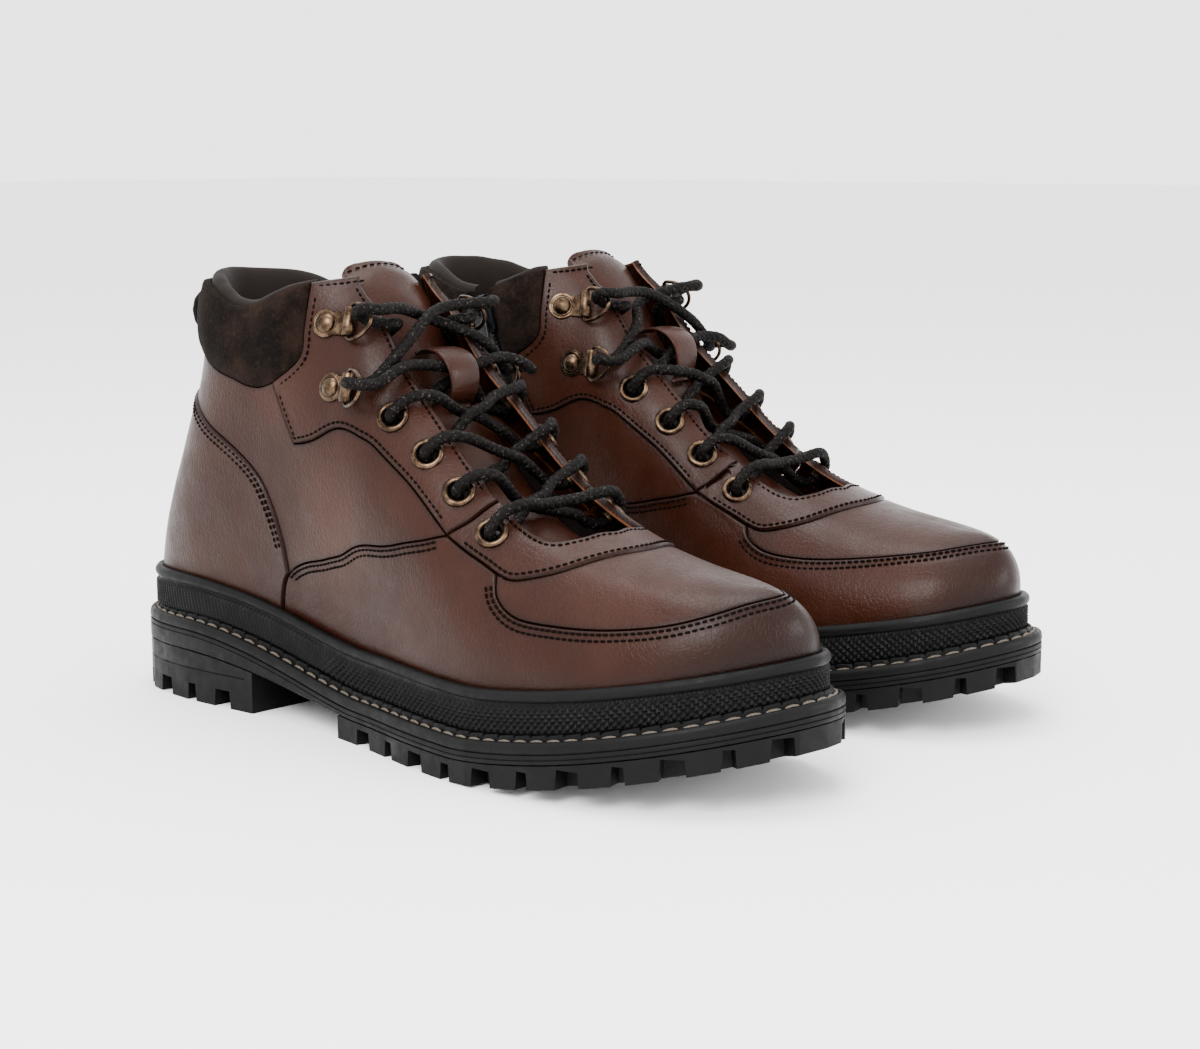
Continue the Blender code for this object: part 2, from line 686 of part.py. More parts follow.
def quarter(side):
    back = STAY_EDGE[::-1] + COLLAR_EDGE[::-1][1:] + COVER_EDGE[:-1] + SIDE_SEAM[2:-1]
    if side == "outer":
        return back
    slot = (beside_zip(SLOT, (0.75, 0.55, ZIP_LOW)) + [(zip_rib(ZIP_LOW) + 0.1, ZIP_LOW - 0.03)]
            + [(zip_rib(ZIP_LOW) - 0.1, ZIP_LOW - 0.03)] + beside_zip(-SLOT, (ZIP_LOW, 0.55, 0.755)))
    rear_collar = [p for p in COLLAR_EDGE[::-1] if p[0] < slot[-1][0] - 0.1]
    return STAY_EDGE[::-1] + slot + rear_collar + COVER_EDGE[:-1] + SIDE_SEAM[2:-1]


def eyestay(side):
    return (STAY_EDGE + SADDLE_SEAM[1:] + throat_edge(side, (10.5, 9.5, 8.5, 7.5, 6.8, 6.4))
            + [(6.15, 1), (5.45, 1)] + COLLAR_FRONT[::-1][1:-1])


def saddle(side):
    return SADDLE_EDGE + THROAT_END[::-1] + SADDLE_SEAM[1:2]


def apron(side):
    front = [p for p in SADDLE_EDGE if p[0] > 11.5]
    return APRON_SEAM[side] + [(TOE, 1)] + front[::-1]


def toe_wall(side):
    rear = [p for p in SADDLE_EDGE if 10.5 < p[0] < 11.46]
    return SIDE_SEAM[::-1] + [(TOE, LOW)] + APRON_SEAM[side][::-1] + rear[::-1]


def heel_cover(side):
    return COVER_EDGE + SIDE_SEAM[1::-1] + [(0, LOW)]


def collar(side):
    if side == "outer":
        return COLLAR_EDGE + COLLAR_FRONT[1:] + [(0, 1)]
    rear = [p for p in COLLAR_EDGE if p[0] < 3.8]
    return rear + beside_zip(-SLOT, (0.76, 1.0)) + [(0, 1)]


def collar_front(_side):
    return [(zip_rib(0.76) + SLOT, 0.755)] + COLLAR_FRONT + beside_zip(SLOT, (1.0,))


def pad(rib, height):
    """The padded collar swells between its seam and the top line."""
    swell = np.clip((height - 0.73) / 0.27, 0.0, 1.0)
    return 0.4 + 2.8 * math.sin(math.pi * min(1.0, 0.12 + 0.88 * swell)) ** 0.6


def lining_outer(rib, _height):
    return -6.4 + 2.8 * float(ramp(rib, 5.3, 6.3)) - 3.2 * float(ramp(rib, 12.8, 13.8))


def lining_inner(rib, height):
    return lining_outer(rib, height) - 1.4


def lining(_side):
    front = [(5.45, .985), (5.5, .8), (5.8, .58), (6.6, .5), (8.4, .5), (9.4, .49), (10.3, .46),
             (11.2, .42), (12.2, .45), (12.9, .55), (13.3, .75), (13.4, 1)]
    return [(0, LOW), (TOE, LOW), (TOE, 1)] + front[::-1] + [(4, .985), (2, .985), (0, .985)]


def stiffener(side):
    if side == "outer":
        return [(0, 0), (4.6, 0), (4.5, .2), (4.2, .4), (3.6, .52), (2, .6), (0, .62)]
    return [(0, 0), (4.6, 0), (4.3, .2), (3.9, .38), (3.3, .5), (2, .6), (0, .62)]


def toe_puff(side):
    top = [(TOE, .66), (16, .58), (15, .42), (14.2, .3)]
    return [(13.8, 0), (TOE, 0)] + top + [(13.8, .2)]


def stay_tape(side):
    edge = throat_edge(side, (6.6, 7.5, 8.5, 9.5, 10.5, 11.1))
    inner_edge = [(r + 0.02, t - 0.03) for r, t in edge]
    end = [(11.8, .72), (12.2, .72), (12.5, .8), (12.62, .93), (12.65, 1)]
    outer = [(13.1, 1), (12.98, .86), (12.6, .68), (12.2, .6), (11.7, .56), (10.9, .56), (10.1, .61),
             (9.3, .62), (8.3, .635), (7.3, .60), (6.2, .58), (5.7, .65), (5.62, .92), (6.1, .95)]
    return inner_edge + end + outer


def upper_parts(boot):
    leather = (-LEATHER, 0.0)
    raised = (-LEATHER, 0.6)
    eyelet_holes = [(r, t, EYELET_BORE + 1.2) for r, t in EYELETS]
    rivet_holes = [(r, t, 2.3) for r, t in CLIPS]
    make(boot, "toe_wall", sheet(both(toe_wall), *leather, joined=("toe",)), "leather")
    make(boot, "apron", sheet(both(apron), *leather, joined=("toe", "ridge")), "leather")
    make(boot, "throat_saddle", sheet(both(saddle, lambda s: eyelet_holes[:1]), *raised,
                                      joined=("ridge",), spacing=11.0), "leather")
    make(boot, "heel_cover", sheet(both(heel_cover), *raised, joined=("heel",)), "leather")
    for side in SIDES:
        make(boot, f"quarter_{side}", sheet([(side, quarter(side), [])], *leather), "leather")
        make(boot, f"eyestay_{side}", sheet([(side, eyestay(side), eyelet_holes[1:] + rivet_holes)],
                                            *raised, spacing=12.0), "leather")
    make(boot, "collar", sheet(both(collar), -2.6, pad, joined=("heel",), spacing=10.0), "suede")
    make(boot, "collar_front_inner", sheet([("inner", collar_front("inner"), [])], -2.6, pad,
                                           spacing=10.0), "suede")
    make(boot, "lining", sheet(both(lining), lining_inner, lining_outer,
                               joined=("heel", "toe", "ridge"), spacing=22.0), "lining")
    make(boot, "heel_stiffener", sheet(both(stiffener), -5.0, -3.3, joined=("heel",), spacing=17.0), "board")
    make(boot, "toe_puff", sheet(both(toe_puff), -5.4, -3.6, joined=("toe",)), "board")


# The middle of the tongue: its top end, then (rib, depth under the throat's ideal middle line).
TONGUE_TOP = [(109, 163.5), (117, 159.5)]
TONGUE_DEPTHS = [(7.05, -9.5), (7.6, -11.5), (8.2, -12.9), (9, -13.2), (10, -14.2), (11, -14.8),
                 (12, -12), (13, -7)]


def tongue_line():
    places = [off_skin(rib, 0.0, depth) for rib, depth in TONGUE_DEPTHS]
    return [np.array(p, float) for p in TONGUE_TOP] + [np.array((p[0], p[2])) for p in places]


TONGUE_LINE = tongue_line()


def tongue_point(along, across, depth):
    """Point of the tongue: along 0 to 1 from its top down, across in mm, depth under its face."""
    count = len(TONGUE_LINE) - 1
    k = min(int(along * count), count - 1)
    f = along * count - k
    before, after = TONGUE_LINE[max(k - 1, 0)], TONGUE_LINE[min(k + 2, count)]
    a, b = TONGUE_LINE[k], TONGUE_LINE[k + 1]
    middle = 0.5 * ((2 * a) + (b - before) * f + (2 * before - 5 * a + 4 * b - after) * f * f
                    + (3 * a - before - 3 * b + after) * f**3)
    way = 0.5 * ((b - before) * (1 - f) + (after - a) * f)
    normal = np.array([-way[1], way[0]]) / np.linalg.norm(way)
    radius = 32.0
    turn = across / radius
    drop = radius * (1 - math.cos(turn)) + depth * math.cos(turn)
    wide = (radius - depth) * math.sin(turn)
    spot = middle - normal * drop
    return np.array([spot[0], wide, spot[1]])


def tongue_half_width(along):
    wide_below = 1.5 * float(ramp(along, 0.1, 0.4)) + 4.0 * float(ramp(along, 0.5, 0.66))
    return 14.5 + 3.0 * min(1.0, along * 12) + wide_below


def tongue(boot):
    rows, columns = 10, 6
    points, count = [], (rows + 1) * (columns + 1)
    for depth in (0.0, 3.5):
        for j in range(rows + 1):
            along = j / rows
            half = tongue_half_width(along)
            points += [tongue_point(along, half * (2 * i / columns - 1), depth) for i in range(columns + 1)]
    faces = []
    for j in range(rows):
        for i in range(columns):
            a = j * (columns + 1) + i
            quad = [a, a + 1, a + columns + 2, a + columns + 1]
            faces += [quad, [k + count for k in quad][::-1]]
    rim = ([i for i in range(columns)] + [columns + j * (columns + 1) for j in range(rows)]
           + [count - 1 - i for i in range(columns)]
           + [count - 1 - columns - j * (columns + 1) for j in range(rows)])
    for a, b in zip(rim, rim[1:] + rim[:1]):
        faces.append([b, a, a + count, b + count])
    return make(boot, "tongue", (np.array(points), faces), "leather")


KEEPER_START, KEEPER_END = 0.405, 0.572      # along the tongue
KEEPER_LIFT = 12.0


def lace_keeper(boot):
    """Leather loop on the tongue that the laces pass under."""
    vertices, steps = [], 12
    for k in range(steps + 1):
        f = k / steps
        along = KEEPER_START + (KEEPER_END - KEEPER_START) * f
        lift = KEEPER_LIFT * math.sin(math.pi * min(max((f - 0.04) / 0.92, 0.0), 1.0)) ** 0.45 + 0.8
        for depth in (-lift - 1.5, -lift):
            vertices += [tongue_point(along, across, depth) for across in (-5.0, 5.0)]
    faces = []
    for k in range(steps):
        a = k * 4
        for p, q in ((0, 1), (1, 3), (3, 2), (2, 0)):
            faces.append([a + p, a + q, a + 4 + q, a + 4 + p])
    faces += [[0, 2, 3, 1], [steps * 4 + k for k in (0, 1, 3, 2)]]
    return make(boot, "lace_keeper", (np.array(vertices), faces), "leather")


def pull_tab(boot):
    """Webbing loop at the back of the collar."""
    centre, half_width = np.array([22.9, 142.0]), 7.5
    profile = []
    for k in range(9):
        angle = math.radians(62 + (298 - 62) * k / 8)
        profile.append(centre + np.array([8.0 * math.cos(angle), 8.0 * math.sin(angle)]))
    inner = [centre + (p - centre) * 0.78 for p in profile]
    ring = profile + inner[::-1]
    count = len(ring)
    vertices = [(p[0], w, p[1]) for w in (-half_width, half_width) for p in ring]
    faces = [[k, (k + 1) % count, count + (k + 1) % count, count + k] for k in range(count)]
    half = count // 2
    for k in range(half - 1):
        quad = [k, k + 1, count - 2 - k, count - 1 - k]
        faces += [quad[::-1], [v + count for v in quad]]
    return make(boot, "pull_tab", (np.array(vertices, float), faces), "webbing")


# ---------------------------------------------------------------- zip
def zip_point(height, lift):
    at = around("inner", zip_rib(height))
    return skin(at, height) + skin_normal(at, height) * lift


ZIP_TOP = zip_point(0.985, 0.8)
ZIP_FOOT = zip_point(ZIP_LOW, 0.8)
ZIP_UP = (ZIP_TOP - ZIP_FOOT) / np.linalg.norm(ZIP_TOP - ZIP_FOOT)
ZIP_OUT = skin_normal(around("inner", zip_rib(0.7)), 0.7)
ZIP_OUT = ZIP_OUT - ZIP_UP * float(ZIP_OUT @ ZIP_UP)
ZIP_OUT = ZIP_OUT / np.linalg.norm(ZIP_OUT)
ZIP_ACROSS = np.cross(ZIP_UP, ZIP_OUT)


def on_zip(up=0.0, across=0.0, out=0.0, origin=None):
    origin = ZIP_TOP if origin is None else origin
    return origin + ZIP_UP * up + ZIP_ACROSS * across + ZIP_OUT * out


def zip_box(origin, up, across, out):
    """A box along the zip from ranges of (low, high) in the zip's directions."""
    middle = [(r[0] + r[1]) / 2 for r in (up, across, out)]
    sizes = [r[1] - r[0] for r in (up, across, out)]
    return box(on_zip(*middle, origin=origin), (ZIP_UP, ZIP_ACROSS, ZIP_OUT), sizes)


SLIDER = on_zip(up=-9.0)      # middle of the closed slider, on the outer face of the teeth
HINGE = on_zip(up=4.0, out=3.3, origin=SLIDER)


def zip_parts(boot):
    tape_outline = (beside_zip(0.55, (0.975, 0.6, ZIP_LOW)) + beside_zip(-0.55, (ZIP_LOW, 0.6, 0.975)))
    tape = make(boot, "zip_chain", sheet([("inner", tape_outline, [])], -3.9, -3.0), "webbing")
    length = float(np.linalg.norm(ZIP_TOP - ZIP_FOOT))
    combined(tape, [make(boot, "teeth", zip_box(ZIP_TOP, (-length, 0), (-2.5, 2.5), (-3.4, 0)), "gunmetal")])
    plate = zip_box(SLIDER, (-6, 6), (-4, 4), (0.35, 1.75))
    body = make(boot, "zip_slider", plate, "gunmetal", origin=SLIDER)
    lug = make(boot, "lug", zip_box(SLIDER, (1.0, 7.0), (-0.9, 0.9), (1.2, 4.9)), "gunmetal")
    bore = make(boot, "bore", rod(on_zip(across=-3, origin=HINGE), on_zip(across=3, origin=HINGE), 1.15),
                "gunmetal")
    combined(combined(body, [lug]), [bore], "DIFFERENCE")
    puller(boot)


def puller(boot):
    """Pull that hangs down from the slider's lug on a cross pin."""
    plate = zip_box(HINGE, (-29, -3.9), (-2.9, 2.9), (-0.75, 0.75))
    made = make(boot, "zip_puller", plate, "gunmetal", origin=HINGE)
    pin = rod(on_zip(across=-2.6, origin=HINGE), on_zip(across=2.6, origin=HINGE), 0.75)
    arms = [make(boot, "arm", zip_box(HINGE, (-5.0, 0.9), ends, (-0.7, 0.7)), "gunmetal")
            for ends in ((-2.7, -1.45), (1.45, 2.7))]
    return combined(made, arms + [make(boot, "pin", pin, "gunmetal")])


# ---------------------------------------------------------------- lacing
def lace_hardware(boot):
    """Stay tape under the facings, with the eight eyelets and the four ring clips set in it."""
    made = make(boot, "lace_hardware", sheet(both(stay_tape), -3.8, -2.8, joined=("ridge",), spacing=14.0),
                "brass")
    pieces = []
    for side in SIDES:
        for rib, height in EYELETS:
            rolled = [(EYELET_BORE, -4.3), (EYELET_BORE, 1.8), (EYELET_OUTER, 1.4),
                      (EYELET_BORE + 0.6, 0.9), (EYELET_BORE + 0.6, -4.3)]
            pieces.append(make(boot, "eyelet", turned(Spot(side, rib, height), rolled), "brass"))
        for rib, height in CLIPS:
            pieces += clip(boot, Spot(side, rib, height))
    bores = []
    for side in SIDES:
        for rib, height in EYELETS:
            spot = Spot(side, rib, height)
            bores.append(make(boot, "bore", rod(spot(out=-6), spot(out=4), EYELET_BORE + 0.3), "brass"))
    combined(made, bores, "DIFFERENCE")
    return combined(made, pieces)


def clip(boot, spot):
    """Riveted plate that ends in the barrel of a lacing ring."""
    cap = disc(spot, [(0, -4.3), (1.7, -4.3), (1.7, 1.3), (RIVET, 1.5), (RIVET, 2.3), (0, 3.5)])
    plate = box(spot(BARREL_REACH / 2, 0, 1.5), (spot.forward, spot.up, spot.out),
                (BARREL_REACH + 1.0, 6.4, 1.0))
    half = BARREL_LENGTH / 2
    centre = spot(BARREL_REACH, 0, BARREL_HEIGHT)
    profiles = []
    for k in range(8):
        angle = 2 * math.pi * (k + 0.5) / 8
        way = spot.forward * math.cos(angle) + spot.out * math.sin(angle)
        profiles.append([centre + way * 1.3 - spot.up * half, centre + way * 2.2 - spot.up * half,
                         centre + way * 2.2 + spot.up * half, centre + way * 1.3 + spot.up * half])
    return [make(boot, "rivet", cap, "brass"), make(boot, "plate", plate, "brass"),
            make(boot, "barrel", ring_of(profiles), "brass")]


RING_HALF = 6.4               # half the ring's straight side
RING_REACH = 10.5             # from the barrel to the front of the ring
LOOP_RADIUS = 4.8             # of the lace round the ring's wire
# Where the strands leave a facing, cross and reach the other facing (ribs), and how deep the upper
# strand lies under the throat's ideal line at the crossing.
CROSSINGS = ((11.33, 11.28, 10.75, -5.2), (10.42, 10.37, 9.87, -5.2), (9.55, 9.48, 8.95, -2.5),
             (8.7, 8.62, 8.2, -3.3))
STRAND_GAP = 5.6              # between the middles of two strands that cross
LACE_TAIL = ((138.2, 18.4, 143.4), (135.0, 13.4, 142.8), (130.4, 14.8, 139.0), (128.9, 19.2, 135.0),
             (127.4, 22.4, 130), (126.2, 23.8, 122), (126, 25, 112), (126.5, 25, 102), (127, 25, 94))


def ring_axis(side, clip_at):
    spot = Spot(side, *clip_at)
    return spot, spot(BARREL_REACH, 0, BARREL_HEIGHT)


def ring_direction(spot):
    angle = math.radians(RING_TILT)
    return spot.forward * math.cos(angle) + spot.out * math.sin(angle)


def d_ring(boot, side, level, clip_at):
    spot, centre = ring_axis(side, clip_at)
    reach = ring_direction(spot)
    line = [(0.0, -RING_HALF), (0.0, 0.0), (0.0, RING_HALF)]
    for k in range(1, 10):
        angle = math.radians(90 - 180 * k / 10)
        line.append((RING_REACH * math.cos(angle) ** 0.8, RING_HALF * math.sin(angle)))
    line = [centre + reach * a + spot.up * b for a, b in line]
    normal = np.cross(reach, spot.up)
    profiles = []
    count = len(line)
    for k in range(count):
        tangent = line[(k + 1) % count] - line[k - 1]
        tangent = tangent / np.linalg.norm(tangent)
        across = np.cross(tangent, normal)
        profiles.append([line[k] + (across * math.cos(a) + normal * math.sin(a)) * RING_WIRE
                         for a in (2 * math.pi * j / 5 for j in range(5))])
    return make(boot, f"d_ring_{level}_{side}", ring_of(profiles), "brass", origin=centre)


def round_wire(side, clip_at, angle, up):
    """Point of the lace where it loops round the front of a ring, by its angle about the wire."""
    spot, centre = ring_axis(side, clip_at)
    reach = ring_direction(spot)
    away = np.cross(reach, spot.up) * -SIDES[side]
    turn = math.radians(angle)
    return (centre + reach * (RING_REACH + LOOP_RADIUS * math.cos(turn))
            + away * LOOP_RADIUS * math.sin(turn) + spot.up * up)


def half_lace(start_side):
    """The lace from the middle of its lowest bar to its end, starting towards one side."""
    over = start_side == "outer"
    side = start_side
    arrived = 11.5
    route = [off_skin(11.58, 10 * SIDES[side], -0.6), off_skin(arrived, 19 * SIDES[side], 4.0)]
    for k, (rib, height) in enumerate(EYELETS):
        s = SIDES[side]
        spot = Spot(side, rib, height)
        centre = abs(float(spot.origin[1]))
        leaving, middle, arriving = CROSSINGS[k][:3]
        deep = CROSSINGS[k][3] - (0.0 if over else STRAND_GAP)
        before, after = (-1.0, 1.5) if over else (-0.3, 0.9)
        route += [off_skin(rib + (arrived - rib) * 0.45, (centre - 5.0) * s, 4.7),
                  spot(out=2.8), spot(out=-4.9),
                  off_skin((rib + leaving) / 2, (centre - 4.7) * s, -9.2), off_skin(leaving, 19 * s, -9.0),
                  off_skin(middle + (leaving - middle) / 3, 6.5 * s, deep + before),
                  off_skin(middle, 0, deep),
                  off_skin(middle + (arriving - middle) / 3, -6.5 * s, deep + after)]
        if k + 1 < len(EYELETS):
            route.append(off_skin(arriving, -19 * s, 4.0))
        arrived = arriving
        side = "inner" if side == "outer" else "outer"
    s = SIDES[side]
    lower, upper = CLIPS
    route += [off_skin(CROSSINGS[-1][2], 18.5 * s, 3.8), (150.5, 28.5 * s, 129.0), (150.2, 37.0 * s, 125.2)]
    route += [round_wire(side, lower, angle, up)
              for angle, up in ((20, 0.6), (75, 0.8), (130, 1.1), (180, 1.6), (-120, 2.3))]
    route += [(144.3, 19.5 * s, 135.7), off_skin(7.6, 0, 0.2 if over else 0.2 - STRAND_GAP),
              (139.4, -17.0 * s, 148.8)]
    side = "inner" if side == "outer" else "outer"
    s = SIDES[side]
    route += [round_wire(side, upper, angle, up)
              for angle, up in ((15, 2.6), (70, 2.4), (125, 2.0), (180, 1.4), (-120, 0.5))]
    route += [(u, w * s, z) for u, w, z in LACE_TAIL]
    return route


def smooth_line(points):
    """Close points on a Catmull-Rom curve through points."""
    points = np.array(points, float)
    padded = np.concatenate([[2 * points[0] - points[1]], points, [2 * points[-1] - points[-2]]])
    line = []
    for p0, p1, p2, p3 in zip(padded, padded[1:], padded[2:], padded[3:]):
        steps = [math.dist(a, b) ** 0.5 for a, b in ((p0, p1), (p1, p2), (p2, p3))]
        slope_1 = ((p1 - p0) / steps[0] - (p2 - p0) / (steps[0] + steps[1]) + (p2 - p1) / steps[1]) * steps[1]
        slope_2 = ((p2 - p1) / steps[1] - (p3 - p1) / (steps[1] + steps[2]) + (p3 - p2) / steps[2]) * steps[1]
        for f in np.arange(0, 1, 0.05):
            line.append((2 * f**3 - 3 * f**2 + 1) * p1 + (f**3 - 2 * f**2 + f) * slope_1
                        + (3 * f**2 - 2 * f**3) * p2 + (f**3 - f**2) * slope_2)
    return np.array(line + [points[-1]])


def thinned(line):
    """Points along a close line, nearer together where it bends."""
    steps = np.diff(line, axis=0)
    lengths = np.linalg.norm(steps, axis=1)
    apart = lengths > 1e-6
    line, steps, lengths = line[np.append(apart, True)], steps[apart], lengths[apart]
    ways = steps / lengths[:, None]
    turns = np.arccos(np.clip(np.sum(ways[1:] * ways[:-1], axis=1), -1, 1))
    measure = np.cumsum(np.concatenate([[0], lengths / 20.0 + np.append(turns, 0) / math.radians(40)]))
    at = np.linspace(0, measure[-1], int(measure[-1]))
    return np.column_stack([np.interp(at, measure, line[:, i]) for i in range(3)])


def tube(line, radius, sides):
    """A round cord along a line, its ends closed."""
    ways = np.diff(line, axis=0)
    ways = ways / np.linalg.norm(ways, axis=1)[:, None]
    tangents = np.concatenate([ways[:1], ways[1:] + ways[:-1], ways[-1:]])
    tangents = tangents / np.linalg.norm(tangents, axis=1)[:, None]
    across = np.cross(tangents[0], (0.2, 0.3, 0.93))
    rows = []
    for place, tangent in zip(line, tangents):
        across = across - tangent * (across @ tangent)
        across = across / np.linalg.norm(across)
        third = np.cross(tangent, across)
        angles = [2 * math.pi * k / sides for k in range(sides)]
        rows.append([place + (across * math.cos(a) + third * math.sin(a)) * radius for a in angles])
    faces = []
    for row in range(len(rows) - 1):
        for k in range(sides):
            a, b = row * sides + k, row * sides + (k + 1) % sides
            faces.append([a, b, b + sides, a + sides])
    last = (len(rows) - 1) * sides
    faces += [list(range(sides))[::-1], list(range(last, last + sides))]
    return np.concatenate(rows), faces


def lace(boot):
    """One lace, from its end inside one facing to its end inside the other."""
    middle = [off_skin(11.6, 0, -2.2)]
    line = smooth_line(half_lace("inner")[::-1] + middle + half_lace("outer"))
    return make(boot, "lace", tube(thinned(line), LACE / 2, 6), "cord")


def boot_parts(boot):
    sole_parts(boot)
    upper_parts(boot)
    tongue(boot)
    lace_keeper(boot)
    pull_tab(boot)
    zip_parts(boot)
    lace_hardware(boot)
    for side in SIDES:
        for level, clip_at in zip(("lower", "upper"), CLIPS):
            d_ring(boot, side, level, clip_at)
    lace(boot)


def main():
    for old in list(bpy.data.objects):
        bpy.data.objects.remove(old)
    for boot in ("right", "left"):
        boot_parts(boot)


main()
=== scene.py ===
"""Looks of the boots: fine leather, rubber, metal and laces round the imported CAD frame.

Tables and form functions work in millimetres in each boot's own directions, as in the CAD source:
u forward from the heel, w out to the wearer's outer side, z up. Pieces are placed in metres.
"""
import json
import math

import bmesh
import bpy
import numpy as np
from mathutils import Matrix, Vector
from mathutils.geometry import delaunay_2d_cdt
from mathutils.kdtree import KDTree


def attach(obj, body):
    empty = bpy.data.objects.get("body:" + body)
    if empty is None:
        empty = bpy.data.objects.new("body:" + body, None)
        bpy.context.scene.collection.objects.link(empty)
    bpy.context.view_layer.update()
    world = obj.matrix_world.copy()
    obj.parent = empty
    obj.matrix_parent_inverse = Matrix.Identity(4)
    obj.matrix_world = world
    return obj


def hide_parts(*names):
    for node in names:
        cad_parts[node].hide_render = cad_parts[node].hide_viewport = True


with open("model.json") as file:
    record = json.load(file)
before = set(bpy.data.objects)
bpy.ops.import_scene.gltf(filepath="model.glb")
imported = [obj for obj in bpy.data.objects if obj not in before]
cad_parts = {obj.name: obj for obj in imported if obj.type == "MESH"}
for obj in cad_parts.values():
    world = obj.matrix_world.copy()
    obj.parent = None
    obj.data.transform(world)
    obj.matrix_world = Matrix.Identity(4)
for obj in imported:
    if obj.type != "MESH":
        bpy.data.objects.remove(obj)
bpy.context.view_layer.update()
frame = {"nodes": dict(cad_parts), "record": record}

# ---------------------------------------------------------------- driving dimensions (mm)
HEEL_SPACING = 107.7          # between the two boots' centre lines, at the heels
TOE_OUT = {"right": 2.7, "left": 3.3}     # degrees each boot points outward
FORWARD = {"right": 0.0, "left": 1.5}     # how far each boot stands forward
HAND = {"right": -1.0, "left": 1.0}

LEATHER = 1.8                 # thickness of the upper's leather, under its outer face
WELT_HEIGHT = 15.0            # top of the welt above the ground at the ball
HEEL_LIFT = 15.0              # how much higher the heel seat is
TOE_SPRING = 19.0             # how far the toe curls up
SPRING_START, SPRING_LENGTH = 195.0, 110.0
HEEL_RAMP = (140.0, 40.0)     # where the sole starts to rise to the heel and where it ends
MIDSOLE_THICK = 7.0           # at the ball
HEEL_WEDGE = 4.0              # how much thicker it is under the heel
BAND_HEIGHT = 16.3            # foxing band with its lip, above the welt
FEATHER_HEIGHT = 13.0         # where the leather meets the band, above the welt
NOTCH_PITCH = 17.3            # between the notches in the sole's edge

EYELET_OUTER = 5.7            # radii
EYELET_BORE = 3.4
BARREL_REACH = 9.5            # from the rivet to the ring's barrel
BARREL_HEIGHT = 3.6
BARREL_LENGTH = 9.2
RING_WIRE = 0.9 * 0.8         # radius of a ring's wire
RING_TILT = 22.0              # degrees that the laces lift the rings off the leather

# Ribs, heel to toe: sole edge (u, half-width) on the outer and the inner side, the point of the
# top line that the rib runs up to, and the two handles of the rib's Bezier curve: out of the
# feather line, and out of the top point. The top line is the collar's edge to rib 6, then the
# middle of the throat and of the vamp.
RIBS = (
    # outer edge   inner edge   top (u, w, z)    low handle     top handle
    ((-2, 0),     (-2, 0),     (29, 0, 155),    (-2, 0, 30),   (10, 0, -42)),
    ((3, 19),     (3, 19),     (36, 17, 155),   (1, 0.5, 30),  (9, -1, -42)),
    ((17, 31.5),  (17, 31),    (51, 28, 153),   (2, 3, 30),    (3, 2, -42)),
    ((43, 36),    (43, 35),    (68, 32.5, 148), (2, 7, 30),    (-2, 3.5, -40)),
    ((73, 35),    (73, 32.5),  (84, 33.5, 149), (2, 10, 32),   (0, 3, -40)),
    ((98, 34.5),  (98, 31),    (100, 31, 155),  (2, 11, 35),   (2, 8, -42)),
    ((118, 36),   (118, 31.5), (116, 20, 158.5), (2, 10, 38),  (2, 24, -34)),
    ((134, 38.5), (134, 33.5), (131, 0, 157),   (1, 8, 40),    (-3, 49, -14)),
    ((151, 42),   (151, 37.5), (144, 0, 139),   (0, 6, 36),    (-3, 48, -10)),
    ((169, 46.5), (169, 42),   (158, 0, 124.5), (-2, 4, 32),   (-2, 45, -6)),
    ((187, 50),   (187, 46),   (173, 0, 109),   (-4, 3, 28),   (-1, 42, -3)),
    ((205, 52),   (205, 49.5), (189, 0, 95.5),  (-4, 2, 24),   (0, 38, -2)),
    ((225, 51.5), (225, 51.5), (208, 0, 84),    (-4, 2, 22),   (0, 33, 0)),
    ((245, 49),   (245, 51),   (228, 0, 77),    (-3, 2, 20),   (0, 29, 0)),
    ((265, 42.5), (265, 47.5), (247, 0, 72.5),  (-1, 2, 18),   (3, 24, 0)),
    ((283, 32),   (284, 40),   (263, 0, 69.8),  (1, 2, 16),    (8, 18, 0)),
    ((298, 15.5), (299, 25),   (273, -1, 68.4), (2, 1, 14),    (12, 9, 0)),
    ((306, -6),   (306, -6),   (279, -2, 67.8), (2, 0, 13),    (13, -2, 0)),
)
TOE = len(RIBS) - 1           # the rib at the toe tip; rib 0 is the middle of the heel
LOOP = 2 * TOE

# Seams and edges, as (rib, height), height 0 at the feather line and 1 at the top line.
LOW = -0.05                   # the leather runs this far down behind the foxing band
COVER_EDGE = [(0, .70), (1, .69), (2, .66), (2.8, .62), (3.6, .56), (4.28, .47), (4.6, .38),
              (4.8, .28), (4.86, .18)]
SIDE_SEAM = [(4.5, LOW), (4.62, .07), (4.86, .175), (5.3, .229), (6.0, .255), (6.7, .264),
             (7.8, .321), (8.8, .38), (9.6, .443), (10.26, .52)]
STAY_EDGE = [(4.66, .75), (5.29, .57), (6.12, .56), (7.0, .54), (7.43, .55), (8.01, .58),
             (8.91, .57), (9.6, .55), (10.26, .52)]
COLLAR_EDGE = [(0, .80), (1, .80), (2, .80), (2.6, .795), (3.39, .78), (3.9, .755), (4.23, .745),
               (4.66, .75)]
COLLAR_FRONT = [(4.66, .75), (5.42, .80), (5.45, .87), (5.45, 1)]
SADDLE_SEAM = [(10.26, .52), (10.74, .63), (11.06, .77)]
SADDLE_EDGE = [(10.26, .52), (11.14, .51), (11.71, .49), (12.14, .53), (12.71, .63), (13.28, .83),
               (13.5, 1)]
THROAT_END = [(11.06, .77), (11.71, .74), (12.2, .74), (12.55, .83), (12.68, .94), (12.75, 1)]
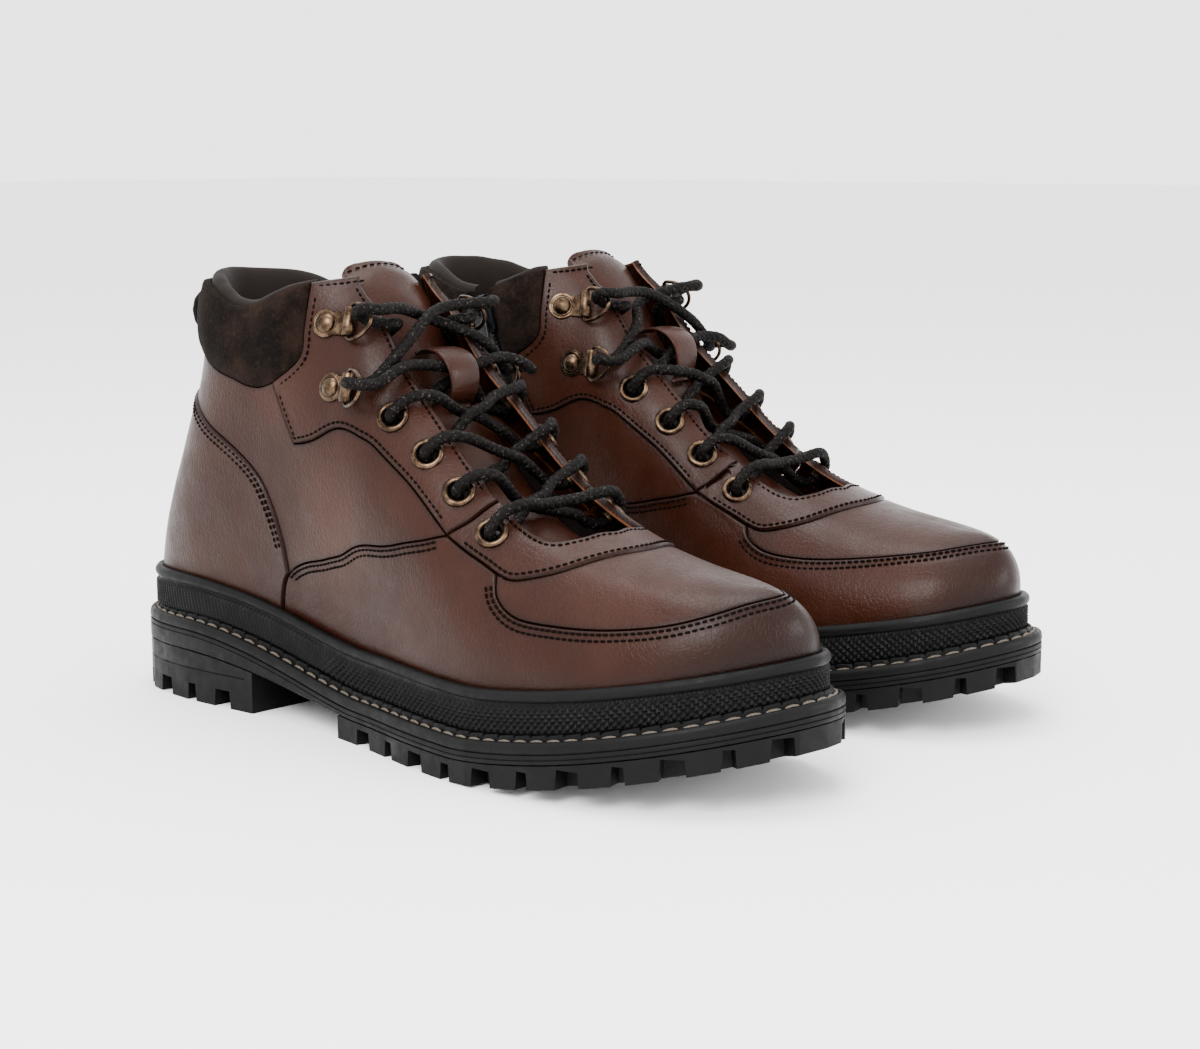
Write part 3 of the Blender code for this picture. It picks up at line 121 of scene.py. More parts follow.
APRON_SEAM = {
    "outer": [(11.46, .499), (11.53, .40), (11.89, .345), (12.71, .34), (13.73, .355), (14.55, .40),
              (15.28, .49), (15.96, .60), (16.5, .665), (TOE, .70)],
    "inner": [(11.46, .499), (11.5, .44), (11.8, .40), (12.6, .40), (13.7, .45), (14.76, .53),
              (15.5, .60), (16, .645), (16.5, .685), (TOE, .70)],
}
EYELETS = [(11.2, .635), (10.3, .68), (9.4, .69), (8.35, .70)]       # lowest first
CLIPS = [(6.45, .655), (5.97, .86)]                                  # lower and upper ring clips
ZIP_RIB = 3.72                # the zip's rib at the top line
ZIP_SLOPE = 2.3               # ribs that it moves forward over the whole height
ZIP_LOW = 0.31                # where the zip ends
ZIP_COLLAR = 0.76             # height of the collar's lower edge beside the zip
SLOT = 0.31                   # half-width of the slot in the leather, in ribs
SIDES = {"outer": 1.0, "inner": -1.0}


def ramp(x, low, high):
    """Smooth step from 0 at low to 1 at high."""
    f = np.clip((np.asarray(x, float) - low) / (high - low), 0.0, 1.0)
    return f * f * (3.0 - 2.0 * f)


def unit(vectors):
    return vectors / np.maximum(np.linalg.norm(vectors, axis=-1, keepdims=True), 1e-9)


def square_to(way, other):
    """The part of a direction that is square to another, as a unit vector."""
    rest = way - other * float(way @ other)
    return rest / np.linalg.norm(rest)


def hermite(f, a, slope_a, b, slope_b):
    """Cubic from a to b with the slopes at both, at the share f of the way."""
    return ((2 * f**3 - 3 * f**2 + 1) * a + (f**3 - 2 * f**2 + f) * slope_a
            + (3 * f**2 - 2 * f**3) * b + (f**3 - f**2) * slope_b)


def run_along(points):
    """Length of a line of points up to each of them."""
    return np.concatenate([[0], np.cumsum(np.linalg.norm(np.diff(points, axis=0), axis=1))])


# ---------------------------------------------------------------- the boot's form
class ClosedCurve:
    """Closed cubic spline through points; its parameter grows by 1 from each point to the next."""

    def __init__(self, points):
        self.points = np.array(points, float)
        self.count = len(self.points)
        eye = np.eye(self.count)
        system = 4.0 * eye + np.roll(eye, 1, 1) + np.roll(eye, -1, 1)
        reach = np.roll(self.points, -1, 0) - np.roll(self.points, 1, 0)
        self.slopes = np.linalg.solve(system, 3.0 * reach)

    def __call__(self, at):
        at = np.asarray(at, float)
        index = np.floor(at).astype(int)
        a, b = index % self.count, (index + 1) % self.count
        return hermite((at - index)[..., None], self.points[a], self.slopes[a], self.points[b],
                       self.slopes[b])


def round_the_boot(row):
    """One value per rib, up the outer side to the toe and back down the inner side."""
    return ([row(RIBS[k], "outer") for k in range(TOE + 1)]
            + [row(RIBS[k], "inner") for k in range(TOE - 1, 0, -1)])


def edge_point(rib, side):
    u, half = rib[0] if side == "outer" else rib[1]
    return (u, half * SIDES[side] if half > 0 else half)


def top_point(rib, side):
    u, w, z = rib[2]
    return (u, w * SIDES[side] if w > 0 else w, z)


def top_handle(rib, side):
    u, w, z = rib[4]
    return np.add(top_point(rib, side), (u, w * SIDES[side] if w > 0 else w, z))


def low_handle(rib, side):
    u, w, z = rib[3]
    return (u, w * SIDES[side], z)


EDGE = ClosedCurve(round_the_boot(edge_point))


def tread_bottom(u):
    return TOE_SPRING * np.clip((np.asarray(u, float) - SPRING_START) / SPRING_LENGTH, 0.0, 1.1) ** 1.5


def welt_top(u):
    return WELT_HEIGHT + tread_bottom(u) + HEEL_LIFT * ramp(u, *HEEL_RAMP)


def midsole_bottom(u):
    return welt_top(u) - MIDSOLE_THICK - HEEL_WEDGE * ramp(u, *HEEL_RAMP)


def outline(at, inset):
    """Plan of the sole's edge, moved inward."""
    step = EDGE(np.asarray(at) + 0.01) - EDGE(np.asarray(at) - 0.01)
    inward = unit(np.stack([step[..., 1], -step[..., 0]], -1))
    return EDGE(at) + inward * np.asarray(inset, float)[..., None]


def edge_row(at, inset, z):
    """Row of points inside the sole's edge, at the heights z."""
    return np.column_stack([outline(at, inset), np.broadcast_to(z, len(at))])


def upper_inset(u):
    """How far the upper stands in from the sole's edge."""
    return 6.0 + 2.5 * ramp(u, 0.0, 90.0)


def feather_points():
    at = np.arange(LOOP, dtype=float)
    plan = outline(at, upper_inset(EDGE(at)[:, 0]))
    return np.column_stack([plan, welt_top(plan[:, 0]) + FEATHER_HEIGHT])


FEATHER = ClosedCurve(feather_points())
LOW_HANDLE = ClosedCurve(FEATHER.points + np.array(round_the_boot(low_handle), float))
TOP_HANDLE = ClosedCurve(round_the_boot(top_handle))
TOP = ClosedCurve(round_the_boot(top_point))


def skin(at, height):
    """Outer face of the upper."""
    at, height = np.broadcast_arrays(np.asarray(at, float), np.asarray(height, float))
    t = height[..., None]
    return ((1 - t)**3 * FEATHER(at) + 3 * (1 - t)**2 * t * LOW_HANDLE(at)
            + 3 * (1 - t) * t * t * TOP_HANDLE(at) + t**3 * TOP(at))


def skin_normal(at, height):
    e = 0.003
    height = np.minimum(height, 0.98)         # the ribs close up at the very top of the toe
    forward = skin(np.asarray(at) + e, height) - skin(np.asarray(at) - e, height)
    up = skin(at, height + e) - skin(at, height - e)
    return unit(np.cross(up, forward))


def on_skin(at, height, lift):
    """Point over the outer face of the upper."""
    return skin(at, height) + skin_normal(at, height) * lift


def around(side, rib):
    """Parameter of the closed curves for a rib on one side."""
    rib = np.asarray(rib, float)
    return rib if side == "outer" else LOOP - rib


def height_at_width(side, rib, width):
    """Height on a rib, near its top, where the skin is this far from the middle."""
    low, high = 0.5, 1.0
    for _ in range(30):
        middle = (low + high) / 2
        if abs(float(skin(around(side, rib), middle)[1])) > width:
            low = middle
        else:
            high = middle
    return high


def off_skin(rib, across, lift):
    """Point over the throat: rib, signed distance from the middle, height above the leather."""
    side = "outer" if across >= 0 else "inner"
    return on_skin(around(side, rib), height_at_width(side, rib, abs(across)), lift)


def throat_half_width(rib):
    """Half the opening between the two facings: wider towards the toe."""
    return 17.0 + 4.0 * ramp(rib, 6.0, 11.0)


class Spot:
    """A place on the skin with its directions: out of the leather, up the leg and forward."""

    def __init__(self, side, rib, height):
        at = around(side, rib)
        self.origin = skin(at, height)
        self.out = skin_normal(at, height)
        self.up = square_to(np.array([0.0, 0.0, 1.0]), self.out)
        self.forward = np.cross(self.out, self.up) * SIDES[side]

    def __call__(self, forward=0.0, up=0.0, out=0.0):
        return self.origin + self.forward * forward + self.up * up + self.out * out


# ---------------------------------------------------------------- placing pieces
def turned_out(boot, points):
    """A boot's own points in the pair's directions, before centring."""
    u, w, z = np.asarray(points, float).T
    angle = math.radians(TOE_OUT[boot])
    ahead = u * math.cos(angle) - w * math.sin(angle) + FORWARD[boot]
    aside = u * math.sin(angle) + w * math.cos(angle) + HEEL_SPACING / 2
    return np.column_stack([HAND[boot] * aside, -ahead, z])


def centre_shift():
    """Middle of the pair's outlines, which the origin stands under."""
    edge = edge_row(np.arange(0, LOOP, 0.05), 0.0, 0.0)
    points = np.concatenate([turned_out(boot, edge) for boot in HAND])
    return (points.min(0) + points.max(0)) / 2 * (1, 1, 0)


SHIFT = centre_shift()


def placed(boot, points):
    """A boot's own millimetres in the frame's metres."""
    return (turned_out(boot, points) - SHIFT) / 1000.0


def linked(name, data):
    """A new object in the scene."""
    made = bpy.data.objects.new(name, data)
    bpy.context.scene.collection.objects.link(made)
    return made


def mesh_of(boot, name, shape):
    """A mesh in the frame's metres from a shape of (points in mm, faces)."""
    points, faces = shape
    mesh = bpy.data.meshes.new(name)
    mesh.from_pydata(placed(boot, points).tolist(), [], [list(f) for f in faces])
    return mesh


def edited(mesh, change):
    """Change a mesh in place through its edit form."""
    form = bmesh.new()
    form.from_mesh(mesh)
    change(form)
    form.to_mesh(mesh)
    form.free()


def piece(boot, name, shape, finish, nodes=(), body="boots", smooth=40.0, marks=None):
    """A shown piece from a shape, riding on a body of the frame."""
    mesh = mesh_of(boot, name, shape)
    if HAND[boot] < 0:
        mesh.flip_normals()
    mesh.shade_smooth()
    mesh.set_sharp_from_angle(angle=math.radians(smooth))
    for mark, values in (marks or {}).items():
        attribute = mesh.attributes.new(mark, "FLOAT", "POINT")
        attribute.data.foreach_set("value", np.asarray(values, np.float32))
    made = linked(f"{boot}_{name}", mesh)
    slot, look = FINISHES[finish]
    mesh.materials.append(look())
    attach(made, body if body == "boots" else f"{boot}_{body}")
    if nodes:
        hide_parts(*(f"{boot}_{node}" for node in nodes))
    return made


def merged(shapes):
    """Several shapes in one."""
    points, faces, start = [], [], 0
    for found, corners in shapes:
        points.append(np.asarray(found, float))
        faces += [[k + start for k in face] for face in corners]
        start += len(found)
    return np.concatenate(points), faces


def grid(rows, closed_rows=False, closed_columns=False):
    """Faces over rows of points, shaped (rows, columns, 3)."""
    rows = np.asarray(rows, float)
    count, width = rows.shape[:2]
    faces = []
    for i in range(count if closed_rows else count - 1):
        n = (i + 1) % count
        for j in range(width if closed_columns else width - 1):
            m = (j + 1) % width
            faces.append((i * width + j, i * width + m, n * width + m, n * width + j))
    return rows.reshape(-1, 3), faces


def hoop(rows):
    """A closed skin through rows of points that go round the sole."""
    return grid(np.stack(rows, 1), closed_rows=True, closed_columns=True)


def bar(corners):
    """A solid through four rows of points, closed at both ends."""
    points, faces = grid(np.stack(corners, 1), closed_columns=True)
    last = len(points) - 4
    return points, [*faces, (3, 2, 1, 0), (last, last + 1, last + 2, last + 3)]


def tapered(rows):
    """A strip through closed rows, drawn together at both ends."""
    rows = np.array(rows)
    first, last = (np.repeat(r.mean(1, keepdims=True), rows.shape[1], 1) for r in (rows[:1], rows[-1:]))
    return grid(np.concatenate([first, rows, last]), closed_columns=True)


# ---------------------------------------------------------------- fields over the skin
RIB_SCALE, HEIGHT_SCALE = 17.0, 120.0
SCALE = np.array((RIB_SCALE, HEIGHT_SCALE))


def surface(kind, x, y):
    """The skin over a flat field: one side, all round the boot, or over the ridge at y = 1."""
    x, y = np.asarray(x, float), np.asarray(y, float)
    if kind == "inner":
        return skin(LOOP - x, y)
    if kind == "over":
        x = np.minimum(x, TOE)
        return skin(np.where(y > 1, LOOP - x, x), np.where(y > 1, 2 - y, y))
    return skin(x, y)


def slopes(kind, x, y):
    """Millimetres per unit along both directions of the field."""
    e = 0.004
    if kind == "over":
        x = np.minimum(x, TOE - 0.04)
    return ((surface(kind, x + e, y) - surface(kind, x - e, y)) / (2 * e),
            (surface(kind, x, y + e) - surface(kind, x, y - e)) / (2 * e))


def field_normal(kind, x, y):
    along, up = slopes(kind, x, y)
    return unit(np.cross(along, up))


def outward(kind, x, y):
    normal = field_normal(kind, x, y)
    return normal if kind == "inner" else -normal


def moved(kind, curve, ways):
    """Points of a field moved over the skin by vectors in millimetres."""
    along, up = slopes(kind, curve[:, 0], curve[:, 1])
    jacobian = np.stack([along, up], -1)
    square = np.einsum("nij,nik->njk", jacobian, jacobian)
    return curve + np.linalg.solve(square, np.einsum("nij,ni->nj", jacobian, ways)[..., None])[..., 0]


def beside(kind, curve, distance):
    """An open curve moved to its left in the field, by millimetres on the skin."""
    curve = np.asarray(curve, float)
    way = unit(np.gradient(surface(kind, curve[:, 0], curve[:, 1]), axis=0))
    side = np.cross(field_normal(kind, curve[:, 0], curve[:, 1]), way)
    return moved(kind, curve, side * distance)


def inset(kind, outline, distance, fixed):
    """A closed outline moved inward; edges that are fixed stay where they are."""
    places = surface(kind, outline[:, 0], outline[:, 1])
    normal = field_normal(kind, outline[:, 0], outline[:, 1])
    before = unit(places - np.roll(places, 1, 0))
    after = unit(np.roll(places, -1, 0) - places)
    left, right = np.cross(normal, before), np.cross(normal, after)

    def along(edge, side):
        slide = np.sum(edge * side, 1)
        return edge * (distance / np.where(np.abs(slide) < 0.3, 1e9, slide))[:, None]

    middle = unit(left + right)
    ways = middle * (distance / np.maximum(0.4, np.sum(middle * left, 1)))[:, None]
    fixed_before = np.roll(fixed, 1)
    for held, way in ((fixed_before & ~fixed, along(before, right)),
                      (fixed & ~fixed_before, along(after, left)), (fixed & fixed_before, 0.0)):
        ways = np.where(held[:, None], way, ways)
    return moved(kind, outline, ways)


def seam(points, start=0, end=None, step=1.5):
    """Close points on a smooth curve through a seam's points, from one of them to another."""
    points = np.asarray(points, float) * SCALE
    end = len(points) - 1 if end is None else end
    gaps = np.sqrt(np.maximum(np.linalg.norm(np.diff(points, axis=0), axis=1), 1e-6))
    knots = np.concatenate([[0], np.cumsum(gaps)])
    tangents = np.gradient(points, knots, axis=0) if len(points) > 2 else None
    line = []
    for k in range(start, end):
        a, b = points[k], points[k + 1]
        count = max(1, int(np.linalg.norm(b - a) / step))
        for f in np.arange(count) / count:
            line.append(a + (b - a) * f if tangents is None else
                        hermite(f, a, gaps[k] * tangents[k], b, gaps[k] * tangents[k + 1]))
    return np.array(line + [points[end]]) / SCALE


def straight(a, b, step=1.5):
    return seam([a, b], step=step)


def outline_of(*curves):
    """One closed outline from curves that follow each other; it is wound anticlockwise."""
    line = [p for curve in curves for p in np.asarray(curve, float)]
    kept = [line[0]]
    for point in line[1:]:
        if np.linalg.norm((point - kept[-1]) * SCALE) > 0.05:
            kept.append(point)
    if np.linalg.norm((kept[0] - kept[-1]) * SCALE) < 0.05:
        kept.pop()
    kept = np.array(kept)
    flat = kept * SCALE
    area = np.sum(flat[:, 0] * np.roll(flat[:, 1], -1) - np.roll(flat[:, 0], -1) * flat[:, 1])
    return kept if area > 0 else kept[::-1]


# How a field's places reach the boot's other side.
MIRROR = {"heel": lambda x, y: (-x, y), "toe": lambda x, y: (LOOP - x, y), "over": lambda x, y: (x, 2 - y)}


def mirrored(curve, kind):
    """The inner side's copy of a curve, in a field round the boot or over its ridge."""
    return np.column_stack(MIRROR[kind](*np.asarray(curve, float)[::-1].T))


def within(points, polygon):
    """Which points lie inside a polygon."""
    x, y = points[:, :1], points[:, 1:]
    ax, ay = polygon[:, 0], polygon[:, 1]
    bx, by = np.roll(ax, -1), np.roll(ay, -1)
    rise = np.where(by == ay, 1e-12, by - ay)
    crossing = ((ay > y) != (by > y)) & (x < (bx - ax) * (y - ay) / rise + ax)
    return crossing.sum(1) % 2 == 1


def tree_of(points):
    tree = KDTree(len(points))
    for k, point in enumerate(points):
        tree.insert(point, k)
    tree.balance()
    return tree


def nearest(tree, points):
    return np.array([tree.find(point)[2] for point in points])


RINGS = (0.3, 0.8, 1.5)       # rows of points inside a panel's edge, which is drawn round over them
SEAM_SHADE = 1.1              # how far a seam darkens the leather beside it


def hole_ring(kind, hole, sides=28):
    """A round hole's outline in the field."""
    x, y, radius = hole
    centre = np.repeat([[x, y]], sides, 0)
    along, up = slopes(kind, centre[:, 0], centre[:, 1])
    first = unit(along)
    second = unit(up - first * np.sum(up * first, 1, keepdims=True))
    angles = 2 * math.pi * np.arange(sides)[:, None] / sides
    return moved(kind, centre, (first * np.cos(angles) + second * np.sin(angles)) * radius)


def panel(kind, outline, lift, bottom=-LEATHER, spacing=3.0, holes=(), fixed=None, margin=0.12):
    """A sheet of leather over an outline: rounded edges, and lift(places, edge) above the skin.

    Returns the shape and marks of how near each point is to an edge.
    """
    fixed = np.zeros(len(outline), bool) if fixed is None else fixed
    rim = inset(kind, outline, margin, fixed)
    loops = [rim] + [inset(kind, outline, margin + r, fixed) for r in RINGS]
    loops += [hole_ring(kind, hole) for hole in holes]
    flat = [loop * SCALE for loop in loops]
    inner = flat[len(RINGS)]
    low, high = rim.min(0) * SCALE, rim.max(0) * SCALE
    xs = np.arange(low[0], high[0], spacing)
    ys = np.arange(low[1], high[1], spacing * 0.866)
    lattice = np.array([(x + spacing * 0.5 * (j % 2), y) for j, y in enumerate(ys) for x in xs])
    lattice = lattice[within(lattice, inner)]
    border = tree_of([(*p, 0.0) for loop in flat[1:] for p in loop])
    lattice = lattice[nearest(border, [(*p, 0.0) for p in lattice]) > spacing * 0.55]
    for loop in flat[len(RINGS) + 1:]:
        lattice = lattice[~within(lattice, loop)]
    points = np.concatenate([*flat, lattice])
    edges, start = [], 0
    for loop in flat:
        edges += [(start + k, start + (k + 1) % len(loop)) for k in range(len(loop))]
        start += len(loop)
    flat_points, _, faces, *_ = delaunay_2d_cdt([Vector(p) for p in points], edges, [], 1, 1e-5)
    flat_points = np.array([tuple(p) for p in flat_points])
    middles = np.array([flat_points[list(f)].mean(0) for f in faces])
    kept = np.ones(len(faces), bool)
    for loop in flat[len(RINGS) + 1:]:
        kept &= ~within(middles, loop)
    faces = [list(f) for f, k in zip(faces, kept) if k]
    field = flat_points / SCALE
    base = surface(kind, field[:, 0], field[:, 1])
    normal = outward(kind, field[:, 0], field[:, 1])
    free = rim[~(fixed | np.roll(fixed, 1))]
    edge = nearest(tree_of(surface(kind, free[:, 0], free[:, 1])), base)
    for loop in loops[len(RINGS) + 1:]:
        edge = np.minimum(edge, nearest(tree_of(surface(kind, loop[:, 0], loop[:, 1])), base) + 0.4)
    top = base + normal * lift(base, edge)[:, None]
    under = base + normal * bottom
    count = len(base)
    if kind != "inner":
        faces = [f[::-1] for f in faces]
    used = {(a, b) for f in faces for a, b in zip(f, f[1:] + f[:1])}
    walls = [[b, a, a + count, b + count] for a, b in used if (b, a) not in used]
    below = [[k + count for k in f[::-1]] for f in faces]
    near = np.exp(-(edge / SEAM_SHADE)**2)
    return ((np.concatenate([top, under]), faces + below + walls), np.concatenate([near, near]))


def welded(shape, marks, tolerance=0.02):
    """Merge points that fall together, as where a field folds over at the toe."""
    points, faces = shape
    keys, index, kept = {}, [], []
    for k, point in enumerate(np.round(np.asarray(points) / tolerance).astype(int)):
        key = tuple(point)
        if key not in keys:
            keys[key] = len(kept)
            kept.append(k)
        index.append(keys[key])
    made = []
    for face in faces:
        corners = [index[k] for k in face]
        corners = [k for n, k in enumerate(corners) if k != corners[n - 1]]
        if len(corners) > 2:
            made.append(corners)
    return (np.asarray(points)[kept], made), np.asarray(marks)[kept]


# ---------------------------------------------------------------- looks
class Look:
    """A material's node tree round one Principled shader."""

    def __init__(self, name, colour, roughness, metallic=0.0, **sockets):
        self.material = bpy.data.materials.new(name)
        self.material.use_nodes = True
        self.tree = self.material.node_tree
        self.shader = self.tree.nodes["Principled BSDF"]
        self.shader.inputs["Base Color"].default_value = (*colour, 1)
        self.shader.inputs["Roughness"].default_value = roughness
        self.shader.inputs["Metallic"].default_value = metallic
        for socket, number in sockets.items():
            self.shader.inputs[socket.replace("_", " ")].default_value = number
        self.place = self.tree.nodes.new("ShaderNodeTexCoord").outputs["Object"]

    def link(self, source, target):
        self.tree.links.new(source, target)

    def node(self, kind, place=None, **numbers):
        """A node with numbers on its sockets, and a place that it reads."""
        node = self.tree.nodes.new(f"ShaderNode{kind}")
        for socket, number in numbers.items():
            node.inputs[socket].default_value = number
        if place:
            self.link(place, node.inputs["Vector"])
        return node

    def stretched(self, x, y, z):
        return self.node("Mapping", self.place, Scale=(x, y, z)).outputs["Vector"]

    def noise(self, scale, detail=2.0, roughness=0.5, place=None):
        node = self.node("TexNoise", place or self.place, Scale=scale, Detail=detail, Roughness=roughness)
        return node.outputs["Fac"]

    def cells(self, scale, feature="F1", place=None):
        node = self.node("TexVoronoi", place or self.place, Scale=scale)
        node.feature = feature
        return node.outputs["Distance"]

    def wave(self, scale, direction="X"):
        node = self.node("TexWave", self.place, Scale=scale, Distortion=0.0)
        node.bands_direction = direction
        return node.outputs["Fac"]

    def mark(self, name):
        node = self.tree.nodes.new("ShaderNodeAttribute")
        node.attribute_name = name
        return node.outputs["Fac"]

    def spread(self, value, low, high, to_low=0.0, to_high=1.0):
        node = self.tree.nodes.new("ShaderNodeMapRange")
        node.interpolation_type = "SMOOTHSTEP"
        for socket, number in (("From Min", low), ("From Max", high), ("To Min", to_low),
                               ("To Max", to_high)):
            node.inputs[socket].default_value = number
        self.link(value, node.inputs["Value"])
        return node.outputs["Result"]

    def maths(self, operation, a, b):
        node = self.tree.nodes.new("ShaderNodeMath")
        node.operation = operation
        for socket, given in zip(node.inputs, (a, b)):
            if isinstance(given, (int, float)):
                socket.default_value = given
            else:
                self.link(given, socket)
        return node.outputs["Value"]

    def mix(self, share, a, b):
        """A colour between two, each a colour or another node's output."""
        node = self.tree.nodes.new("ShaderNodeMix")
        node.data_type = "RGBA"
        self.link(share, node.inputs["Factor"])
        for socket, given in ((node.inputs[6], a), (node.inputs[7], b)):
            if isinstance(given, tuple):
                socket.default_value = (*given, 1)
            else:
                self.link(given, socket)
        return node.outputs[2]

    def colour(self, output):
        self.link(output, self.shader.inputs["Base Color"])

    def rough(self, output):
        self.link(output, self.shader.inputs["Roughness"])

    def bump(self, *layers):
        """Bumps on top of each other, each (height output, strength, depth in metres)."""
        before = None
        for height, strength, depth in layers:
            node = self.tree.nodes.new("ShaderNodeBump")
            node.inputs["Strength"].default_value = strength
            node.inputs["Distance"].default_value = depth
            self.link(height, node.inputs["Height"])
            if before:
                self.link(before, node.inputs["Normal"])
            before = node.outputs["Normal"]
        self.link(before, self.shader.inputs["Normal"])


BROWN = (0.0150, 0.0036, 0.0014)
DARK_BROWN = (0.0020, 0.0008, 0.0006)
# painted highlight: pale brown of the lighter patches on the quarter, partly pulled-up leather
HIGHLIGHT_PALE_BROWN = (0.045, 0.0185, 0.0110)
RED_BROWN = (0.0245, 0.0050, 0.0016)


def once(maker):
    """Each material is made once and shared."""
    made = []

    def found():
        if not made:
            made.append(maker())
        return made[0]
    return found


@once
def leather():
    look = Look("brown_leather", BROWN, 0.4, Specular_IOR_Level=0.09, Coat_Weight=0.045,
                Coat_Roughness=0.2)
    broad = look.spread(look.noise(22.0, 3.0), 0.38, 0.68)
    patches = look.spread(look.noise(9.0, 1.0), 0.52, 0.72)
    streaks = look.noise(120.0, 5.0, 0.65, look.stretched(1.0, 1.0, 0.45))
    tone = look.mix(broad, BROWN, (0.0200, 0.0054, 0.0024))
    tone = look.mix(look.spread(streaks, 0.35, 0.75, 0.0, 0.45), tone, (0.0105, 0.0027, 0.0013))
    tone = look.mix(look.maths("MULTIPLY", patches, 0.4), tone, RED_BROWN)
    # painted highlight: lighter patches on the quarter, partly pulled-up leather
    tone = look.mix(look.maths("MULTIPLY", look.mark("painted_highlight_patches"), 0.75), tone, HIGHLIGHT_PALE_BROWN)
    tone = look.mix(look.maths("MULTIPLY", look.mark("burnt"), 0.9), tone, DARK_BROWN)
    tone = look.mix(look.maths("MULTIPLY", look.mark("near"), 0.6), tone, DARK_BROWN)
    tone = look.mix(look.spread(look.mark("cut"), 0.2, 0.6, 0.0, 0.85), tone, (0.085, 0.028, 0.0095))
    look.colour(tone)
    look.rough(look.spread(look.noise(70.0, 4.0, 0.6), 0.3, 0.7, 0.30, 0.46))
    pores = look.spread(look.cells(1500.0), 0.0, 0.5)
    creases = look.cells(620.0, "DISTANCE_TO_EDGE", look.stretched(1.0, 1.0, 0.7))
    look.bump((look.spread(creases, 0.0, 0.14), 0.22, 0.0003), (pores, 0.16, 0.0002),
              (look.noise(260.0, 4.0, 0.6), 0.25, 0.0006))
    return look.material


@once
def suede():
    look = Look("dark_suede", (0.02, 0.013, 0.011), 0.95, Sheen_Weight=0.015, Sheen_Roughness=0.45,
                Specular_IOR_Level=0.05)
    look.shader.inputs["Sheen Tint"].default_value = (0.30, 0.20, 0.15, 1)
    nap = look.noise(46.0, 5.0, 0.72)
    fibres = look.noise(1500.0, 3.0, 0.7)
    tone = look.mix(look.spread(nap, 0.40, 0.72), (0.0016, 0.0009, 0.0007), (0.0105, 0.0056, 0.0038))
    flecks = look.spread(look.noise(620.0, 4.0, 0.8), 0.52, 0.68)
    look.colour(look.mix(look.maths("MULTIPLY", flecks, 0.3), tone, (0.030, 0.018, 0.012)))
    look.bump((fibres, 0.7, 0.0006), (look.noise(300.0, 3.0), 0.35, 0.0008))
    return look.material


@once
def lining_cloth():
    look = Look("dark_lining", (0.03, 0.021, 0.017), 0.8, Sheen_Weight=0.01, Specular_IOR_Level=0.10)
    look.colour(look.mix(look.noise(60.0, 4.0), (0.0026, 0.0014, 0.0010), (0.0074, 0.0042, 0.0031)))
    pores = look.spread(look.cells(1100.0), 0.0, 0.5)
    look.bump((pores, 0.25, 0.0003), (look.noise(180.0, 3.0), 0.3, 0.0008))
    return look.material


@once
def rubber():
    look = Look("black_rubber", (0.02, 0.02, 0.021), 0.5, Specular_IOR_Level=0.08)
    look.colour(look.mix(look.noise(45.0, 4.0, 0.6), (0.0010, 0.0010, 0.0010), (0.0034, 0.0033, 0.0033)))
    look.rough(look.spread(look.noise(160.0, 4.0, 0.65), 0.3, 0.7, 0.42, 0.62))
    look.bump((look.noise(1600.0, 3.0, 0.6), 0.22, 0.0002), (look.noise(120.0, 2.0), 0.10, 0.0006))
    return look.material


@once
def board():
    look = Look("fibre_board", (0.30, 0.22, 0.14), 0.9)
    look.colour(look.mix(look.noise(500.0, 4.0), (0.20, 0.14, 0.085), (0.36, 0.27, 0.18)))
    look.bump((look.noise(1500.0, 3.0), 0.4, 0.0003))
    return look.material


@once
def brass():
    look = Look("antique_brass", (0.34, 0.24, 0.15), 0.32, 1.0)
    worn = look.spread(look.noise(240.0, 4.0, 0.65), 0.35, 0.7)
    look.colour(look.mix(worn, (0.018, 0.0105, 0.0064), (0.105, 0.066, 0.040)))
    look.rough(look.spread(look.noise(500.0, 3.0, 0.6), 0.3, 0.7, 0.24, 0.42))
    look.bump((look.noise(1500.0, 2.0), 0.12, 0.0002))
    return look.material


@once
def gunmetal():
    look = Look("gunmetal", (0.1, 0.1, 0.105), 0.36, 1.0)
    look.colour(look.mix(look.noise(300.0, 4.0), (0.022, 0.022, 0.024), (0.075, 0.075, 0.078)))
    look.rough(look.spread(look.noise(700.0, 3.0), 0.3, 0.7, 0.28, 0.46))
    look.bump((look.noise(2000.0, 2.0), 0.1, 0.0002))
    return look.material


@once
def lace_cord():
    look = Look("waxed_lace", (0.016, 0.014, 0.013), 0.62, Specular_IOR_Level=0.05)
    flecks = look.spread(look.noise(1150.0, 2.0, 0.75), 0.60, 0.70)
    tone = look.mix(look.noise(90.0, 2.0), (0.0012, 0.0009, 0.0008), (0.0030, 0.0022, 0.0019))
    look.colour(look.mix(look.maths("MULTIPLY", flecks, 0.7), tone, (0.060, 0.052, 0.046)))
    look.bump((look.noise(2600.0, 2.0), 0.35, 0.0003))
    return look.material


@once
def webbing():
    look = Look("black_webbing", (0.012, 0.012, 0.012), 0.85, Specular_IOR_Level=0.08)
    ribs = look.wave(520.0, "X")
    look.colour(look.mix(look.noise(1200.0, 3.0), (0.0030, 0.0030, 0.0030), (0.0100, 0.0096, 0.0092)))
    look.bump((ribs, 0.3, 0.0003), (look.noise(2400.0, 2.0), 0.3, 0.0002))
    return look.material


@once
def dark_thread():
    look = Look("dark_thread", (0.012, 0.008, 0.007), 0.8, Specular_IOR_Level=0.03)
    look.colour(look.mix(look.noise(2500.0, 2.0), (0.0009, 0.0005, 0.0004), (0.0032, 0.0016, 0.0011)))
    look.bump((look.wave(2400.0, "DIAGONAL"), 0.4, 0.0002))
    return look.material


@once
def welt_thread():
    look = Look("tan_thread", (0.42, 0.36, 0.28), 0.7)
    look.colour(look.mix(look.noise(1400.0, 3.0), (0.028, 0.019, 0.013), (0.098, 0.076, 0.055)))
    look.bump((look.wave(1600.0, "DIAGONAL"), 0.5, 0.0003))
    return look.material


